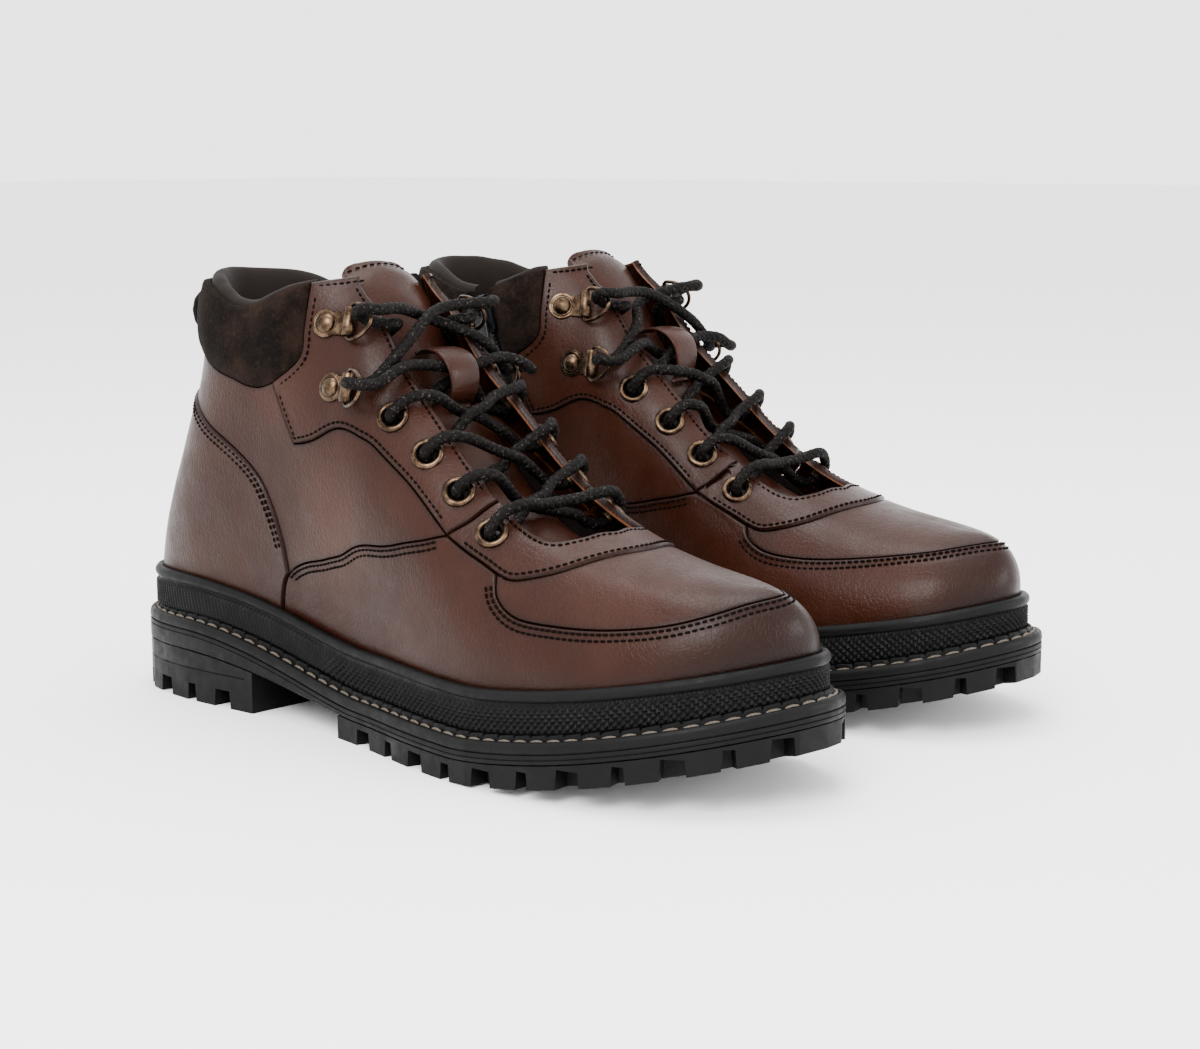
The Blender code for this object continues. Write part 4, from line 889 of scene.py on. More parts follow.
# Finish of a piece: the record's material slot and the look.
FINISHES = {"leather": ("leather", leather), "suede": ("suede", suede), "lining": ("lining", lining_cloth),
            "rubber": ("rubber", rubber), "board": ("board", board), "brass": ("brass", brass),
            "gunmetal": ("gunmetal", gunmetal), "cord": ("cord", lace_cord), "webbing": ("webbing", webbing),
            "thread": ("cord", dark_thread), "welt_thread": ("cord", welt_thread)}


# ---------------------------------------------------------------- camera, light and floor
CAMERA_TARGET = np.array((26.7, 11.4, 61.2)) / 1000
CAMERA_AROUND, CAMERA_ABOVE, CAMERA_DISTANCE, CAMERA_LENS = -50.7, 9.2, 0.8801, 69.35


def aimed(name, data, place, target):
    """A camera or a lamp that looks at a target."""
    thing = linked(name, data)
    thing.location = place
    thing.rotation_mode = "QUATERNION"
    thing.rotation_quaternion = (Vector(target) - Vector(place)).to_track_quat("-Z", "Y")
    return thing


def studio():
    around, above = math.radians(CAMERA_AROUND), math.radians(CAMERA_ABOVE)
    level = math.cos(above)
    back = np.array((math.sin(around) * level, -math.cos(around) * level, math.sin(above)))
    data = bpy.data.cameras.new("camera")
    data.lens, data.sensor_width = CAMERA_LENS, 36.0
    data.clip_start, data.clip_end = 0.01, 50.0
    bpy.context.scene.camera = aimed("camera", data, CAMERA_TARGET + back * CAMERA_DISTANCE, CAMERA_TARGET)
    for name, place, size, power in LAMPS:
        lamp = bpy.data.lights.new(name, "AREA")
        lamp.shape = "RECTANGLE"
        lamp.size, lamp.size_y = size
        lamp.energy = power
        aimed(name, lamp, place, LAMP_TARGET)
    world = bpy.data.worlds.new("studio")
    world.use_nodes = True
    world.node_tree.nodes["Background"].inputs["Color"].default_value = (*WORLD_TONE, 1)
    world.node_tree.nodes["Background"].inputs["Strength"].default_value = WORLD_LIGHT
    bpy.context.scene.world = world
    floor = bpy.data.meshes.new("floor")
    floor.from_pydata([(-FLOOR, -FLOOR, 0), (FLOOR, -FLOOR, 0), (FLOOR, FLOOR, 0), (-FLOOR, FLOOR, 0)],
                      [], [(0, 1, 2, 3)])
    floor.materials.append(Look("pale_floor", FLOOR_TONE, 0.9, Specular_IOR_Level=0.1).material)
    linked("floor", floor)


WORLD_TONE, WORLD_LIGHT = (1.0, 1.0, 1.0), 3.1
FLOOR, FLOOR_TONE = 12.0, (0.87, 0.87, 0.87)
LAMP_TARGET = (0.0, 0.0, 0.06)
# name, place, size, watts
LAMPS = (("key_left", (-1.1, -0.5, 1.1), (0.8, 0.8), 38.0),
         ("top", (0.1, 0.1, 1.5), (0.7, 0.7), 18.0),
         ("front_right", (0.6, -1.5, 0.5), (0.7, 0.5), 16.0))


# ---------------------------------------------------------------- leather panels
def both_ways(points, kind):
    """A seam with its inner side's copy, as one smooth line."""
    if kind == "heel":
        return [MIRROR[kind](*p) for p in points[:0:-1]] + list(points)
    return list(points) + [MIRROR[kind](*p) for p in points[-2::-1]]


def zip_rib(height):
    return ZIP_RIB + (1.0 - height) * ZIP_SLOPE


def beside_zip(offset, heights):
    return [(zip_rib(h) + offset, h) for h in heights]


STAY = np.concatenate([straight(STAY_EDGE[0], STAY_EDGE[1])[:-1], seam(STAY_EDGE[1:])])
SIDE = seam(SIDE_SEAM)
SIDE_LOW, SIDE_HIGH = seam(SIDE_SEAM, 0, 2), seam(SIDE_SEAM, 2)
COVER = seam(both_ways(COVER_EDGE, "heel"))
COVER_SIDE = COVER[len(COVER) // 2:]
COLLAR = seam(both_ways(COLLAR_EDGE, "heel"))
COLLAR_SIDE = COLLAR[len(COLLAR) // 2:]
FRONT = seam(COLLAR_FRONT)
SADDLE_LINE = seam(both_ways(SADDLE_EDGE, "over"))
SADDLE_SIDE = SADDLE_LINE[:len(SADDLE_LINE) // 2 + 1]
SADDLE_REAR = seam(SADDLE_SEAM)
THROAT_LINE = seam(both_ways(THROAT_END, "over"))


def apron_points():
    """The apron's seam round the toe, with both its rear ends on the saddle's edge."""
    points = APRON_SEAM["outer"] + [(LOOP - r, h) for r, h in APRON_SEAM["inner"][-2::-1]]
    rear = float(np.interp(points[0][0], SADDLE_SIDE[:, 0], SADDLE_SIDE[:, 1]))
    return [(points[0][0], rear), *points[1:-1], (points[-1][0], rear)]


APRON_POINTS = apron_points()
APRON_LINE = seam(APRON_POINTS)


def throat_front(side):
    ribs = np.arange(10.5, 6.3, -0.35)
    edge = [(r, height_at_width(side, r, float(throat_half_width(r)))) for r in ribs]
    return seam([SADDLE_SEAM[-1]] + edge)


STAY_FRONT, STAY_REAR = (6.2, 1.0), (5.45, 1.0)       # of the eyelet stay at the top line


def stay_outline(side):
    front = throat_front(side)
    return outline_of(STAY, SADDLE_REAR, front, straight(front[-1], STAY_FRONT),
                      straight(STAY_FRONT, STAY_REAR), FRONT[::-1])


def quarter_outline(side):
    parts = [STAY[::-1]]
    if side == "outer":
        parts.append(COLLAR_SIDE[::-1])
    else:
        foot = beside_zip(0.0, (ZIP_LOW - 0.03,))[0]
        rim = float(np.interp(beside_zip(-SLOT, (ZIP_COLLAR,))[0][0], COLLAR_SIDE[:, 0], COLLAR_SIDE[:, 1]))
        parts += [straight(STAY[0], beside_zip(SLOT, (0.752,))[0]),
                  seam(beside_zip(SLOT, (0.752, 0.55, ZIP_LOW)) + [foot]),
                  seam([foot] + beside_zip(-SLOT, (ZIP_LOW, 0.55, rim)))]
        parts.append(COLLAR_SIDE[::-1][COLLAR_SIDE[::-1][:, 0] < parts[-1][-1][0] - 0.05])
    return outline_of(*parts, straight((0, COLLAR_EDGE[0][1]), (0, COVER_EDGE[0][1])), COVER_SIDE, SIDE_HIGH)


SOLE_STEP = 2.5                         # between outline points along the sole
SIDE_FOOT = SIDE_SEAM[0]


def toe_wall_outline():
    rear = SADDLE_SIDE[SADDLE_SIDE[:, 0] < APRON_POINTS[0][0]]
    return outline_of(SIDE[::-1], straight(SIDE_FOOT, MIRROR["toe"](*SIDE_FOOT), SOLE_STEP),
                      mirrored(SIDE[::-1], "toe"), mirrored(rear, "toe"), APRON_LINE[::-1], rear[::-1])


def apron_outline():
    line = np.array([(x, y) if x <= TOE else (LOOP - x, 2 - y) for x, y in APRON_LINE])
    middle = int(np.argmin(np.abs(APRON_LINE[:, 0] - TOE)))
    up = straight((TOE, APRON_LINE[middle][1]), (TOE, 1.0))
    rear = SADDLE_LINE[SADDLE_LINE[:, 0] > APRON_POINTS[0][0]]
    outline = outline_of(line[:middle + 1], up, mirrored(up, "over"), line[middle + 1:], rear[::-1])
    at_toe = np.abs(outline[:, 0] - TOE) < 1e-6
    return outline, at_toe & np.roll(at_toe, -1)


def heel_cover_outline():
    return outline_of(COVER, SIDE_LOW[::-1], straight(SIDE_FOOT, MIRROR["heel"](*SIDE_FOOT), SOLE_STEP),
                      mirrored(SIDE_LOW[::-1], "heel"))


def saddle_outline():
    return outline_of(SADDLE_LINE, mirrored(SADDLE_REAR[::-1], "over")[::-1], THROAT_LINE[::-1],
                      SADDLE_REAR[::-1])


def dents(places):
    """Soft hollows and swells that hand-lasted leather has, a few tenths of a millimetre."""
    u, w, z = np.asarray(places).T
    slow = np.sin(u / 17.0 + 1.3 * np.sin(z / 21.0)) * np.sin(z / 13.0 + w / 19.0)
    fast = np.sin(u / 6.1 + z / 7.7 + 0.8 * np.sin(w / 9.0)) * np.sin(z / 5.3 - u / 11.0)
    return 0.22 * slow + 0.06 * fast


def rise(edge, width):
    """0 at an edge to 1 well inside it, round like a folded edge."""
    f = np.clip(edge / width, 0, 1)
    return np.sqrt(1 - (1 - f)**2)


RAISED = 0.72                 # how far the upper layer of leather stands above the lower
HEM = straight((5.62, 0.983), (6.35, 0.972))


def stitch_rows():
    """Every row of stitches on one boot: its field, its curve and the leather's lift there."""
    found = []
    side_row = SIDE_HIGH[::-1][4:]
    for side in SIDES:
        found += [(side, side_row, 1.5, 0.3), (side, side_row, 3.5, 0.15), (side, STAY[4:-3], 2.1, 0.75),
                  (side, throat_front(side)[3:], 2.3, 0.75), (side, FRONT[2:-3], -2.9, 0.75),
                  (side, HEM, 0.0, 0.75)]
    found += [("around", COVER[6:-6], -1.8, 0.6), ("around", COVER[6:-6], -3.9, 0.6),
              ("around", APRON_LINE[3:-3], -1.6, 0.4), ("around", APRON_LINE[3:-3], -3.6, 0.2),
              ("over", SADDLE_LINE[4:-4], 2.0, 0.75), ("over", THROAT_LINE[2:-2], -2.3, 0.75)]
    return [(kind, beside(kind, curve, distance), lift) for kind, curve, distance, lift in found]


STITCH_PITCH, STITCH_LENGTH, STITCH_RADIUS = 2.3, 1.85, 0.43
STITCH_SINK = 0.02            # into the leather


def stitched(kind, curve, lift):
    """Short rounded stitches along a curve, each lying on the leather."""
    run = run_along(surface(kind, curve[:, 0], curve[:, 1]))
    at = np.arange(STITCH_PITCH / 2, run[-1], STITCH_PITCH)
    x, y = (np.interp(at, run, curve[:, k]) for k in (0, 1))
    normal = outward(kind, x, y)
    centres = surface(kind, x, y) + normal * (lift - STITCH_SINK)
    return capsules(centres, unit(np.gradient(centres, axis=0)), normal, STITCH_LENGTH, STITCH_RADIUS)


# Sections of a stitch: place along it, width and height, as shares of its length and radius.
STITCH_SECTIONS = ((-0.5, 0.0, -0.35), (-0.42, 0.75, -0.1), (-0.15, 1.0, 0.25), (0.15, 1.0, 0.25),
                   (0.42, 0.75, -0.1), (0.5, 0.0, -0.35))


def capsules(centres, ways, normals, length, radius, sides=6):
    """Many stitches as one shape; each bows a little out of the surface."""
    angles = 2 * math.pi * np.arange(sides) / sides
    first, *between, final = STITCH_SECTIONS
    template = [(first[0] * length, 0.0, first[2] * radius)]
    for along, wide, out in between:
        template += [(along * length, wide * radius * math.cos(a), (out + wide * math.sin(a)) * radius)
                     for a in angles]
    template.append((final[0] * length, 0.0, final[2] * radius))
    template = np.array(template)
    faces = [(0, 1 + (k + 1) % sides, 1 + k) for k in range(sides)]
    for ring in range(len(between) - 1):
        for k in range(sides):
            a, b = 1 + ring * sides + k, 1 + ring * sides + (k + 1) % sides
            faces.append((a, b, b + sides, a + sides))
    last, tip = 1 + (len(between) - 1) * sides, len(template) - 1
    faces += [(last + k, last + (k + 1) % sides, tip) for k in range(sides)]
    return merged([(centre + template @ np.array([way, side, normal]), faces)
                   for centre, way, side, normal in zip(centres, ways, np.cross(normals, ways), normals)])


RIVET_HOLE = 2.2              # radius of the hole under a clip's rivet


def leather_panels(rows):
    """Shapes and marks of every leather panel, the same for both boots."""
    tree = tree_of(np.concatenate([surface(kind, *curve.T) for kind, curve, _ in rows]))

    def lift_of(base, edge_width, bead):
        def lift(places, edge):
            row = nearest(tree, places)
            groove = -0.22 * np.exp(-(row / 0.75)**2) + 0.10 * np.exp(-((row - 1.6) / 0.8)**2)
            height = (base + 0.9) * rise(edge, edge_width) - 0.9
            return (height + bead * np.exp(-((edge - 1.1) / 0.9)**2) + groove * np.clip(edge, 0, 1)
                    + dents(places))
        return lift

    flat, tucked = lift_of(0.0, 0.5, 0.0), lift_of(0.05, 0.8, 0.25)
    raised = lift_of(RAISED, 0.9, 0.18)
    lowest, *holes = [(r, t, EYELET_BORE + 1.0) for r, t in EYELETS]
    holes += [(r, t, RIVET_HOLE) for r, t in CLIPS]
    outline, fixed = apron_outline()
    found = {"apron": welded(*panel("over", outline, flat, fixed=fixed, spacing=2.6)),
             "toe_wall": panel("around", toe_wall_outline(), tucked),
             "heel_cover": panel("around", heel_cover_outline(), raised),
             "throat_saddle": panel("over", saddle_outline(), raised, spacing=2.2,
                                    holes=[lowest, (lowest[0], 2 - lowest[1], lowest[2])])}
    for side in SIDES:
        found[f"quarter_{side}"] = panel(side, quarter_outline(side), flat)
        found[f"eyestay_{side}"] = panel(side, stay_outline(side), raised, spacing=2.4, holes=holes)
    return found


# Lighter patches on the quarter, a painted highlight and partly pulled-up leather: place (u, z), reach along
# both, strength.
HIGHLIGHT_PALE_SPOTS = ((128, 72, 16, 20, 1.0), (100, 118, 14, 14, 0.5))


def leather_marks(shape, near):
    """Where the leather is burnt dark, lighter under a painted highlight that is partly pulled-up leather,
    near a seam or cut.
    """
    u, _, z = np.asarray(shape[0]).T
    toe = ramp(u, 262.0, 292.0) * (1 - ramp(z, 62.0, 74.0))
    foot = 0.35 * (1 - ramp(z - welt_top(u), 12.0, 24.0))
    # painted highlight on the quarter, partly pulled-up leather
    pale = sum(strength * np.exp(-(((u - at) / along)**2 + ((z - high) / up)**2))
               for at, high, along, up, strength in HIGHLIGHT_PALE_SPOTS)
    underside = np.arange(len(near)) >= len(near) // 2
    return {"near": near, "burnt": np.clip(0.6 * toe + foot, 0, 1), "painted_highlight_patches": np.clip(pale * 0.6, 0, 1),
            "cut": underside * (near > 0.9)}


# ---------------------------------------------------------------- sole
def stations(step):
    """Places round the sole's edge, evenly apart, the length up to each, and the whole length."""
    fine = np.arange(0.0, LOOP + 0.001, 0.01)
    run = run_along(EDGE(fine))
    at = np.linspace(0, run[-1], int(run[-1] / step), endpoint=False)
    return np.interp(at, run, fine), at, run[-1]


def saw(x):
    """Triangle wave from 0 to 1 with period 1."""
    return 1 - np.abs(2 * (x - np.floor(x)) - 1)


BAND_ROWS = 20
KNURL_PITCH, RIB_PITCH, KNURL_DEPTH = 2.9, 1.9, 0.85
KNURL_LOW, KNURL_HIGH = 0.05, 0.82      # of the wall's height
KNURL_START = (104.0, 122.0)            # where ribs give way to knurls along the foot


def foxing_band():
    """Textured rubber wall, ribbed at the heel and knurled at the toe, under a smooth lip."""
    at, run, total = stations(0.3)
    u = EDGE(at)[:, 0]
    floor = welt_top(u) + 0.7
    foot = outline(at, upper_inset(u) - 2.6)
    low = np.column_stack([foot, floor])
    normal = skin_normal(at, 0.0)
    high = skin(at, 0.0) + normal * 2.5
    away = unit(np.column_stack([(foot - outline(at, upper_inset(u) + 3.0)), np.zeros(len(u))]))
    knurls, ribs = (run * round(total / pitch) / total for pitch in (KNURL_PITCH, RIB_PITCH))
    toe = ramp(u, *KNURL_START)
    inside = upper_inset(u) + 0.5
    rows = [edge_row(at, inside, floor)]
    for f in np.arange(BAND_ROWS + 1) / BAND_ROWS:
        height = f * BAND_HEIGHT * 0.8
        shade = float(ramp(f, KNURL_LOW, KNURL_LOW + 0.08) * (1 - ramp(f, KNURL_HIGH, KNURL_HIGH + 0.07)))
        first, second = (saw(knurls + turn * height / KNURL_PITCH) for turn in (1, -1))
        knurl = np.minimum(1.0, 1.6 * np.minimum(first, second))
        rib = np.minimum(1.0, 1.7 * saw(ribs + 0.25 * height / RIB_PITCH))
        depth = (knurl * toe + rib * (1 - toe)) * KNURL_DEPTH * shade - 0.25 * (1 - shade)
        rows.append(low + (high - low) * f + away * depth[:, None])
    rise_to = skin(at, 0.036) - skin(at, 0.0)
    centre = skin(at, 0.0) + rise_to * 0.42 + normal * 1.75
    upward = unit(rise_to)
    for a in np.radians(np.linspace(-75, 200, 14)):
        rows.append(centre + normal * (1.95 * math.cos(a)) + upward * (2.1 * math.sin(a)))
    rows.append(edge_row(at, inside, floor + BAND_HEIGHT * 0.7))
    return hoop(rows)


# Side of the midsole and welt, as (inset from the sole's edge, height): height counts from the
# welt's top down to -6.2, and the last points from the midsole's underside.
WELT_PROFILE = ((9.5, -1.0), (5.6, -0.1), (3.7, -0.1), (3.45, -0.55), (2.5, -0.6), (2.2, -0.1),
                (1.7, 0.25), (1.0, 0.2), (0.45, -0.25), (0.12, -1.0), (0.0, -1.9), (0.0, -2.9),
                (0.12, -3.25), (0.75, -3.4), (0.75, -3.75), (0.15, -3.9), (0.0, -4.2), (0.0, -5.1),
                (0.35, -5.25), (0.35, -5.45), (0.0, -5.6))
UNDER_PROFILE = ((0.0, 0.35), (0.25, 0.05), (9.5, 0.0))


def midsole():
    at = stations(1.5)[0]
    u = EDGE(at)[:, 0]
    return hoop([edge_row(at, i, welt_top(u) + z) for i, z in WELT_PROFILE]
                + [edge_row(at, i, midsole_bottom(u) + z) for i, z in UNDER_PROFILE])


WELT_PITCH = 6.7              # one stitch and one block of the ridge
WELT_STITCH_LENGTH, WELT_STITCH_RADIUS = 5.3, 0.55
# Section of the ridge: inset from the sole's edge, share of its height.
RIDGE_PROFILE = ((5.6, -0.2), (5.2, 0.75), (4.95, 1.0), (4.2, 1.0), (3.85, 0.8), (3.6, -0.2))


def welt_ridge():
    """Ridge beside the foxing band, cut into blocks as long as the welt's stitches."""
    at, run, total = stations(0.45)
    top = welt_top(EDGE(at)[:, 0])
    place = run * round(total / WELT_PITCH) / total
    slit = 1 - np.minimum(1.0, saw(place) * WELT_PITCH / 2 / 0.55)
    height = 1.55 - 1.3 * slit**2
    lean = 0.35 * (place - np.floor(place))
    return hoop([edge_row(at, i + 0.2 * slit, top + height * share + lean * (share > 0))
                 for i, share in RIDGE_PROFILE])


def welt_stitches():
    at, run, total = stations(0.45)
    count = round(total / WELT_PITCH)
    here = np.interp((np.arange(count) + 0.5) * total / count, run, at)
    line = edge_row(here, 2.95, welt_top(EDGE(here)[:, 0]) - 0.05)
    way = unit(np.roll(line, -1, 0) - np.roll(line, 1, 0))
    up = unit(np.cross(np.cross(way, (0, 0, 1.0)), way))
    return capsules(line, way, up, WELT_STITCH_LENGTH, WELT_STITCH_RADIUS)


GROOVE, GROOVE_HIGH = 4.6, 5.2          # width and depth of the tread's channels
LONG_GROOVES = ((10.0, 70.0), (137.0, 288.0))         # along the heel and along the forefoot
CROSS_GROOVES = ((14.0, 66.0), (142.0, 290.0))
HEEL_LINE = 12.3                        # height of the thin groove round the heel block
EDGE_BEVEL = 0.00035                    # in metres


def groove(points, width, high, low=-3.0):
    """A channel along flat points, as a solid to cut with."""
    way = unit(np.gradient(points, axis=0))
    side = np.column_stack([-way[:, 1], way[:, 0]]) * width / 2
    return bar([np.column_stack([points + side * wide, np.full(len(points), z)])
                for z, wide in ((low, 1.15), (low, -1.15), (high, -0.8), (high, 0.8))])


def tread_grooves():
    """Two sets of channels across the tread's underside: along the foot, and across it."""
    along, across = [], []
    for side, sign in reversed(SIDES.items()):
        for start, end in LONG_GROOVES:
            u = np.arange(start, end, 4.0)
            half = np.abs(np.interp(u, *half_width_table(side)))
            w = sign * half * 0.42 + 2.6 * np.sin(u / 5.5) + (half * 0.02)
            along.append(np.column_stack([u, w]))
    for start, end in CROSS_GROOVES:
        for u in np.arange(start, end, NOTCH_PITCH):
            half = min(abs(np.interp(u, *half_width_table(side))) for side in SIDES) - 7.5
            w = np.linspace(-half, half, 9)
            across.append(np.column_stack([u + 4.5 * (1 - np.abs(w) / half), w]))
    return [[groove(g, width, GROOVE_HIGH + float(tread_bottom(g[0, 0]))) for g in lines]
            for lines, width in ((along, GROOVE * 0.75), (across, GROOVE))]


def half_width_table(side):
    fine = np.arange(0, TOE, 0.1)
    line = EDGE(around(side, fine))
    return line[:, 0], line[:, 1]


def cut(target, cutter):
    """Cut another object out of this one, for good."""
    change = target.modifiers.new("cut", "BOOLEAN")
    change.operation = "DIFFERENCE"
    change.object = cutter
    bpy.context.view_layer.update()
    graph = bpy.context.evaluated_depsgraph_get()
    mesh = bpy.data.meshes.new_from_object(target.evaluated_get(graph))
    target.modifiers.remove(change)
    target.data = mesh
    bpy.data.objects.remove(cutter)


def cutter_of(boot, shapes):
    mesh = mesh_of(boot, "cutter", merged(shapes))
    edited(mesh, lambda form: bmesh.ops.recalc_face_normals(form, faces=form.faces))
    return linked("cutter", mesh)


def heel_line(height, deep=0.45, tall=0.55):
    """A thin groove round the heel block, as a solid to cut with."""
    at = np.arange(-4.05, 4.06, 0.1)
    return bar([edge_row(at, i, height + z) for i, z in ((-1.0, -tall), (deep, -tall * 0.4),
                                                         (deep, tall * 0.4), (-1.0, tall))])


def cleaned(form):
    """Join the frame's loose triangles into the flat faces that they make up."""
    bmesh.ops.remove_doubles(form, verts=form.verts, dist=1e-6)
    bmesh.ops.dissolve_limit(form, angle_limit=math.radians(0.5), verts=form.verts, edges=form.edges)


def tread(boot):
    """The frame's lugged outsole with its under-tread cut in, and its edges softened."""
    node = frame["nodes"][f"{boot}_outsole"]
    mesh = node.data.copy()
    edited(mesh, cleaned)
    made = linked(f"{boot}_tread", mesh)
    for shapes in (*tread_grooves(), [heel_line(HEEL_LINE)]):
        cut(made, cutter_of(boot, shapes))
    mesh = made.data
    mesh.materials.clear()
    mesh.materials.append(FINISHES["rubber"][1]())
    mesh.shade_smooth()
    mesh.set_sharp_from_angle(angle=math.radians(30))
    soften = made.modifiers.new("edges", "BEVEL")
    soften.width, soften.segments, soften.limit_method = EDGE_BEVEL, 2, "ANGLE"
    soften.angle_limit, soften.harden_normals = math.radians(30), False
    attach(made, "boots")
    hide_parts(node.name)


def show_sole():
    shapes = (("foxing_wall", foxing_band(), "rubber", ("foxing_band",)),
              ("midsole_rim", midsole(), "rubber", ("midsole",)),
              ("welt_ridge", welt_ridge(), "rubber", ()),
              ("welt_stitching", welt_stitches(), "welt_thread", ()))
    for boot in HAND:
        for name, shape, finish, nodes in shapes:
            piece(boot, name, shape, finish, nodes)
        tread(boot)


# ---------------------------------------------------------------- small metal
def plate(outline, low, high, bevel, lay, holes=()):
    """A flat plate with softened edges from outlines in its own plane; lay(x, y, z) places it."""
    loops = [np.asarray(outline, float)] + [np.asarray(h, float) for h in holes]
    points, faces, edges, flat = [], [], [], []
    for n, loop in enumerate(loops):
        way = unit(np.roll(loop, -1, 0) - np.roll(loop, 1, 0))
        inward = np.column_stack([-way[:, 1], way[:, 0]]) * (1.0 if n == 0 else -1.0)
        size, start = len(loop), len(points)
        for z, i in ((low, bevel), (low + bevel, 0.3 * bevel), (low + 1.6 * bevel, 0.0),
                     (high - 1.6 * bevel, 0.0), (high - bevel, 0.3 * bevel), (high, bevel)):
            points += [(*p, z) for p in loop + inward * i]
        for r in range(5):
            for k in range(size):
                a, b = start + r * size + k, start + r * size + (k + 1) % size
                quad = (a, b, b + size, a + size)
                faces.append(quad if n == 0 else quad[::-1])
        edges += [(len(flat) + k, len(flat) + (k + 1) % size) for k in range(size)]
        flat += [(start + 5 * size + k, start + k) for k in range(size)]
    found = delaunay_2d_cdt([Vector(points[a][:2]) for a, _ in flat], edges, [], 1, 1e-7)
    caps = [f for f in found[2] if all(k < len(flat) for k in f)]
    for n, loop in enumerate(loops[1:]):
        middles = np.array([np.mean([points[flat[k][0]][:2] for k in f], axis=0) for f in caps])
        caps = [f for f, out in zip(caps, ~within(middles, loop)) if out]
    faces += [tuple(flat[k][0] for k in f) for f in caps]
    faces += [tuple(flat[k][1] for k in f[::-1]) for f in caps]
    return np.array([lay(*p) for p in points]), faces


def lathed(lay, profile, sides=40, centre=(0.0, 0.0), closed=False):
    """A profile of (radius, height) turned about a plate's upright."""
    angles = 2 * math.pi * np.arange(sides) / sides
    rows = [[lay(centre[0] + r * math.cos(a), centre[1] + r * math.sin(a), h) for r, h in profile]
            for a in angles]
    return grid(rows, closed_rows=True, closed_columns=closed)


def swept(line, way, radii, sides, closed=False):
    """Skin of a wire or cord along a line; radii holds one radius per place, or one per corner."""
    angles = 2 * math.pi * np.arange(sides) / sides
    across, rows = np.cross(way[0], (0.2, 0.3, 0.93)), []
    for place, direction, radius in zip(line, way, radii):
        across = square_to(across, direction)
        third = np.cross(direction, across)
        ring = np.cos(angles)[:, None] * across + np.sin(angles)[:, None] * third
        rows.append(place + ring * np.reshape(radius, (-1, 1)))
    if not closed:
        rows = [[line[0]] * sides, *rows, [line[-1]] * sides]
    return grid(rows, closed_rows=closed, closed_columns=True)


def wire(line, radius, closed=True):
    """A round wire along a line of points."""
    line = np.asarray(line, float)
    reach = np.roll(line, -1, 0) - np.roll(line, 1, 0) if closed else np.gradient(line, axis=0)
    return swept(line, unit(reach), [radius] * len(line), 12, closed)


def arc(centre, radius, start, end, count):
    angles = np.radians(np.linspace(start, end, count))
    return np.column_stack([centre[0] + radius * np.cos(angles), centre[1] + radius * np.sin(angles)])


def eyelet(spot):
    """Rolled ring with its barrel through the leather."""
    middle, tube = (EYELET_OUTER + EYELET_BORE) / 2, (EYELET_OUTER - EYELET_BORE) / 2
    roll = [(middle + tube * math.cos(a), 0.72 + 1.05 * math.sin(a))
            for a in np.radians(np.linspace(-8, 180, 11))]
    barrel = [(EYELET_BORE, -3.6), (EYELET_BORE + 0.4, -3.6), (EYELET_BORE + 0.4, 0.3)]
    return lathed(spot, roll + barrel, closed=True)


PLATE_BACK = 5.1              # radius of the clip's rounded back
PLATE_NECK = 4.3
# Sections of the rivet's dome and its rolled edge: radius, height.
DOME = ((0.02, 3.15), (1.0, 3.05), (2.0, 2.75), (2.8, 2.3), (3.35, 1.75), (3.5, 1.3), (3.3, 1.0))
DOME_EDGE = ((4.15, 0.9), (4.3, 1.15), (4.1, 1.35), (3.85, 1.3), (3.7, 1.0))


def clip_plate(spot):
    """Riveted plate, its barrel and the domed rivet head."""
    def lay(x, y, z):
        return spot(x, y, 0.75 + z + 1.35 * float(ramp(x, 4.2, 8.6)))
    tip = BARREL_REACH - 0.6
    outline = np.concatenate([arc((0, 0), PLATE_BACK, 52, 308, 30), [(5.4, -PLATE_NECK + 0.1), (tip, -4.6)],
                              [(tip, 4.6), (5.4, PLATE_NECK - 0.1)]])
    centre = spot(BARREL_REACH, 0, BARREL_HEIGHT)
    half = BARREL_LENGTH / 2 + 0.35
    section = ((1.3, -half), (1.95, -half), (2.15, -half + 0.25), (2.15, half - 0.25), (1.95, half),
               (1.3, half))
    barrel = [[centre + (spot.forward * math.cos(a) + spot.out * math.sin(a)) * r + spot.up * z
               for r, z in section] for a in np.radians(np.arange(0, 360, 15))]
    return merged([plate(outline, 0.0, 0.95, 0.22, lay),
                   lathed(lambda x, y, z: spot(x, y, z + 0.45), DOME),
                   lathed(lambda x, y, z: spot(x, y, z + 0.55), DOME_EDGE, closed=True),
                   grid(barrel, closed_rows=True, closed_columns=True)])


RING_HALF = 6.4               # half the ring's straight side
RING_REACH = 10.5             # from the barrel to the front of the ring
LOOP_RADIUS = 4.8             # of the lace round the ring's wire
# Where the strands leave a facing, cross and reach the other facing (ribs), and how deep the upper
# strand lies under the throat's ideal line at the crossing.
CROSSINGS = ((11.33, 11.28, 10.75, -5.2), (10.42, 10.37, 9.87, -5.2), (9.55, 9.48, 8.95, -2.5),
             (8.7, 8.62, 8.2, -3.3))
STRAND_GAP = 5.6              # between the middles of two strands that cross
LACE_TAIL = ((138.2, 18.4, 143.4), (135.0, 13.4, 142.8), (130.4, 14.8, 139.0), (128.9, 19.2, 135.0),
             (127.4, 22.4, 130), (126.2, 23.8, 122), (126, 25, 112), (126.5, 25, 102), (127, 25, 94))


def ring_axis(side, clip_at):
    spot = Spot(side, *clip_at)
    return spot, spot(BARREL_REACH, 0, BARREL_HEIGHT)


def ring_direction(spot):
    angle = math.radians(RING_TILT)
    return spot.forward * math.cos(angle) + spot.out * math.sin(angle)


def round_wire(side, clip_at, angle, up):
    """Point of the lace where it loops round the front of a ring, by its angle about the wire."""
    spot, centre = ring_axis(side, clip_at)
    reach = ring_direction(spot)
    away = np.cross(reach, spot.up) * -SIDES[side]
    turn = math.radians(angle)
    return (centre + reach * (RING_REACH + LOOP_RADIUS * math.cos(turn))
            + away * LOOP_RADIUS * math.sin(turn) + spot.up * up)


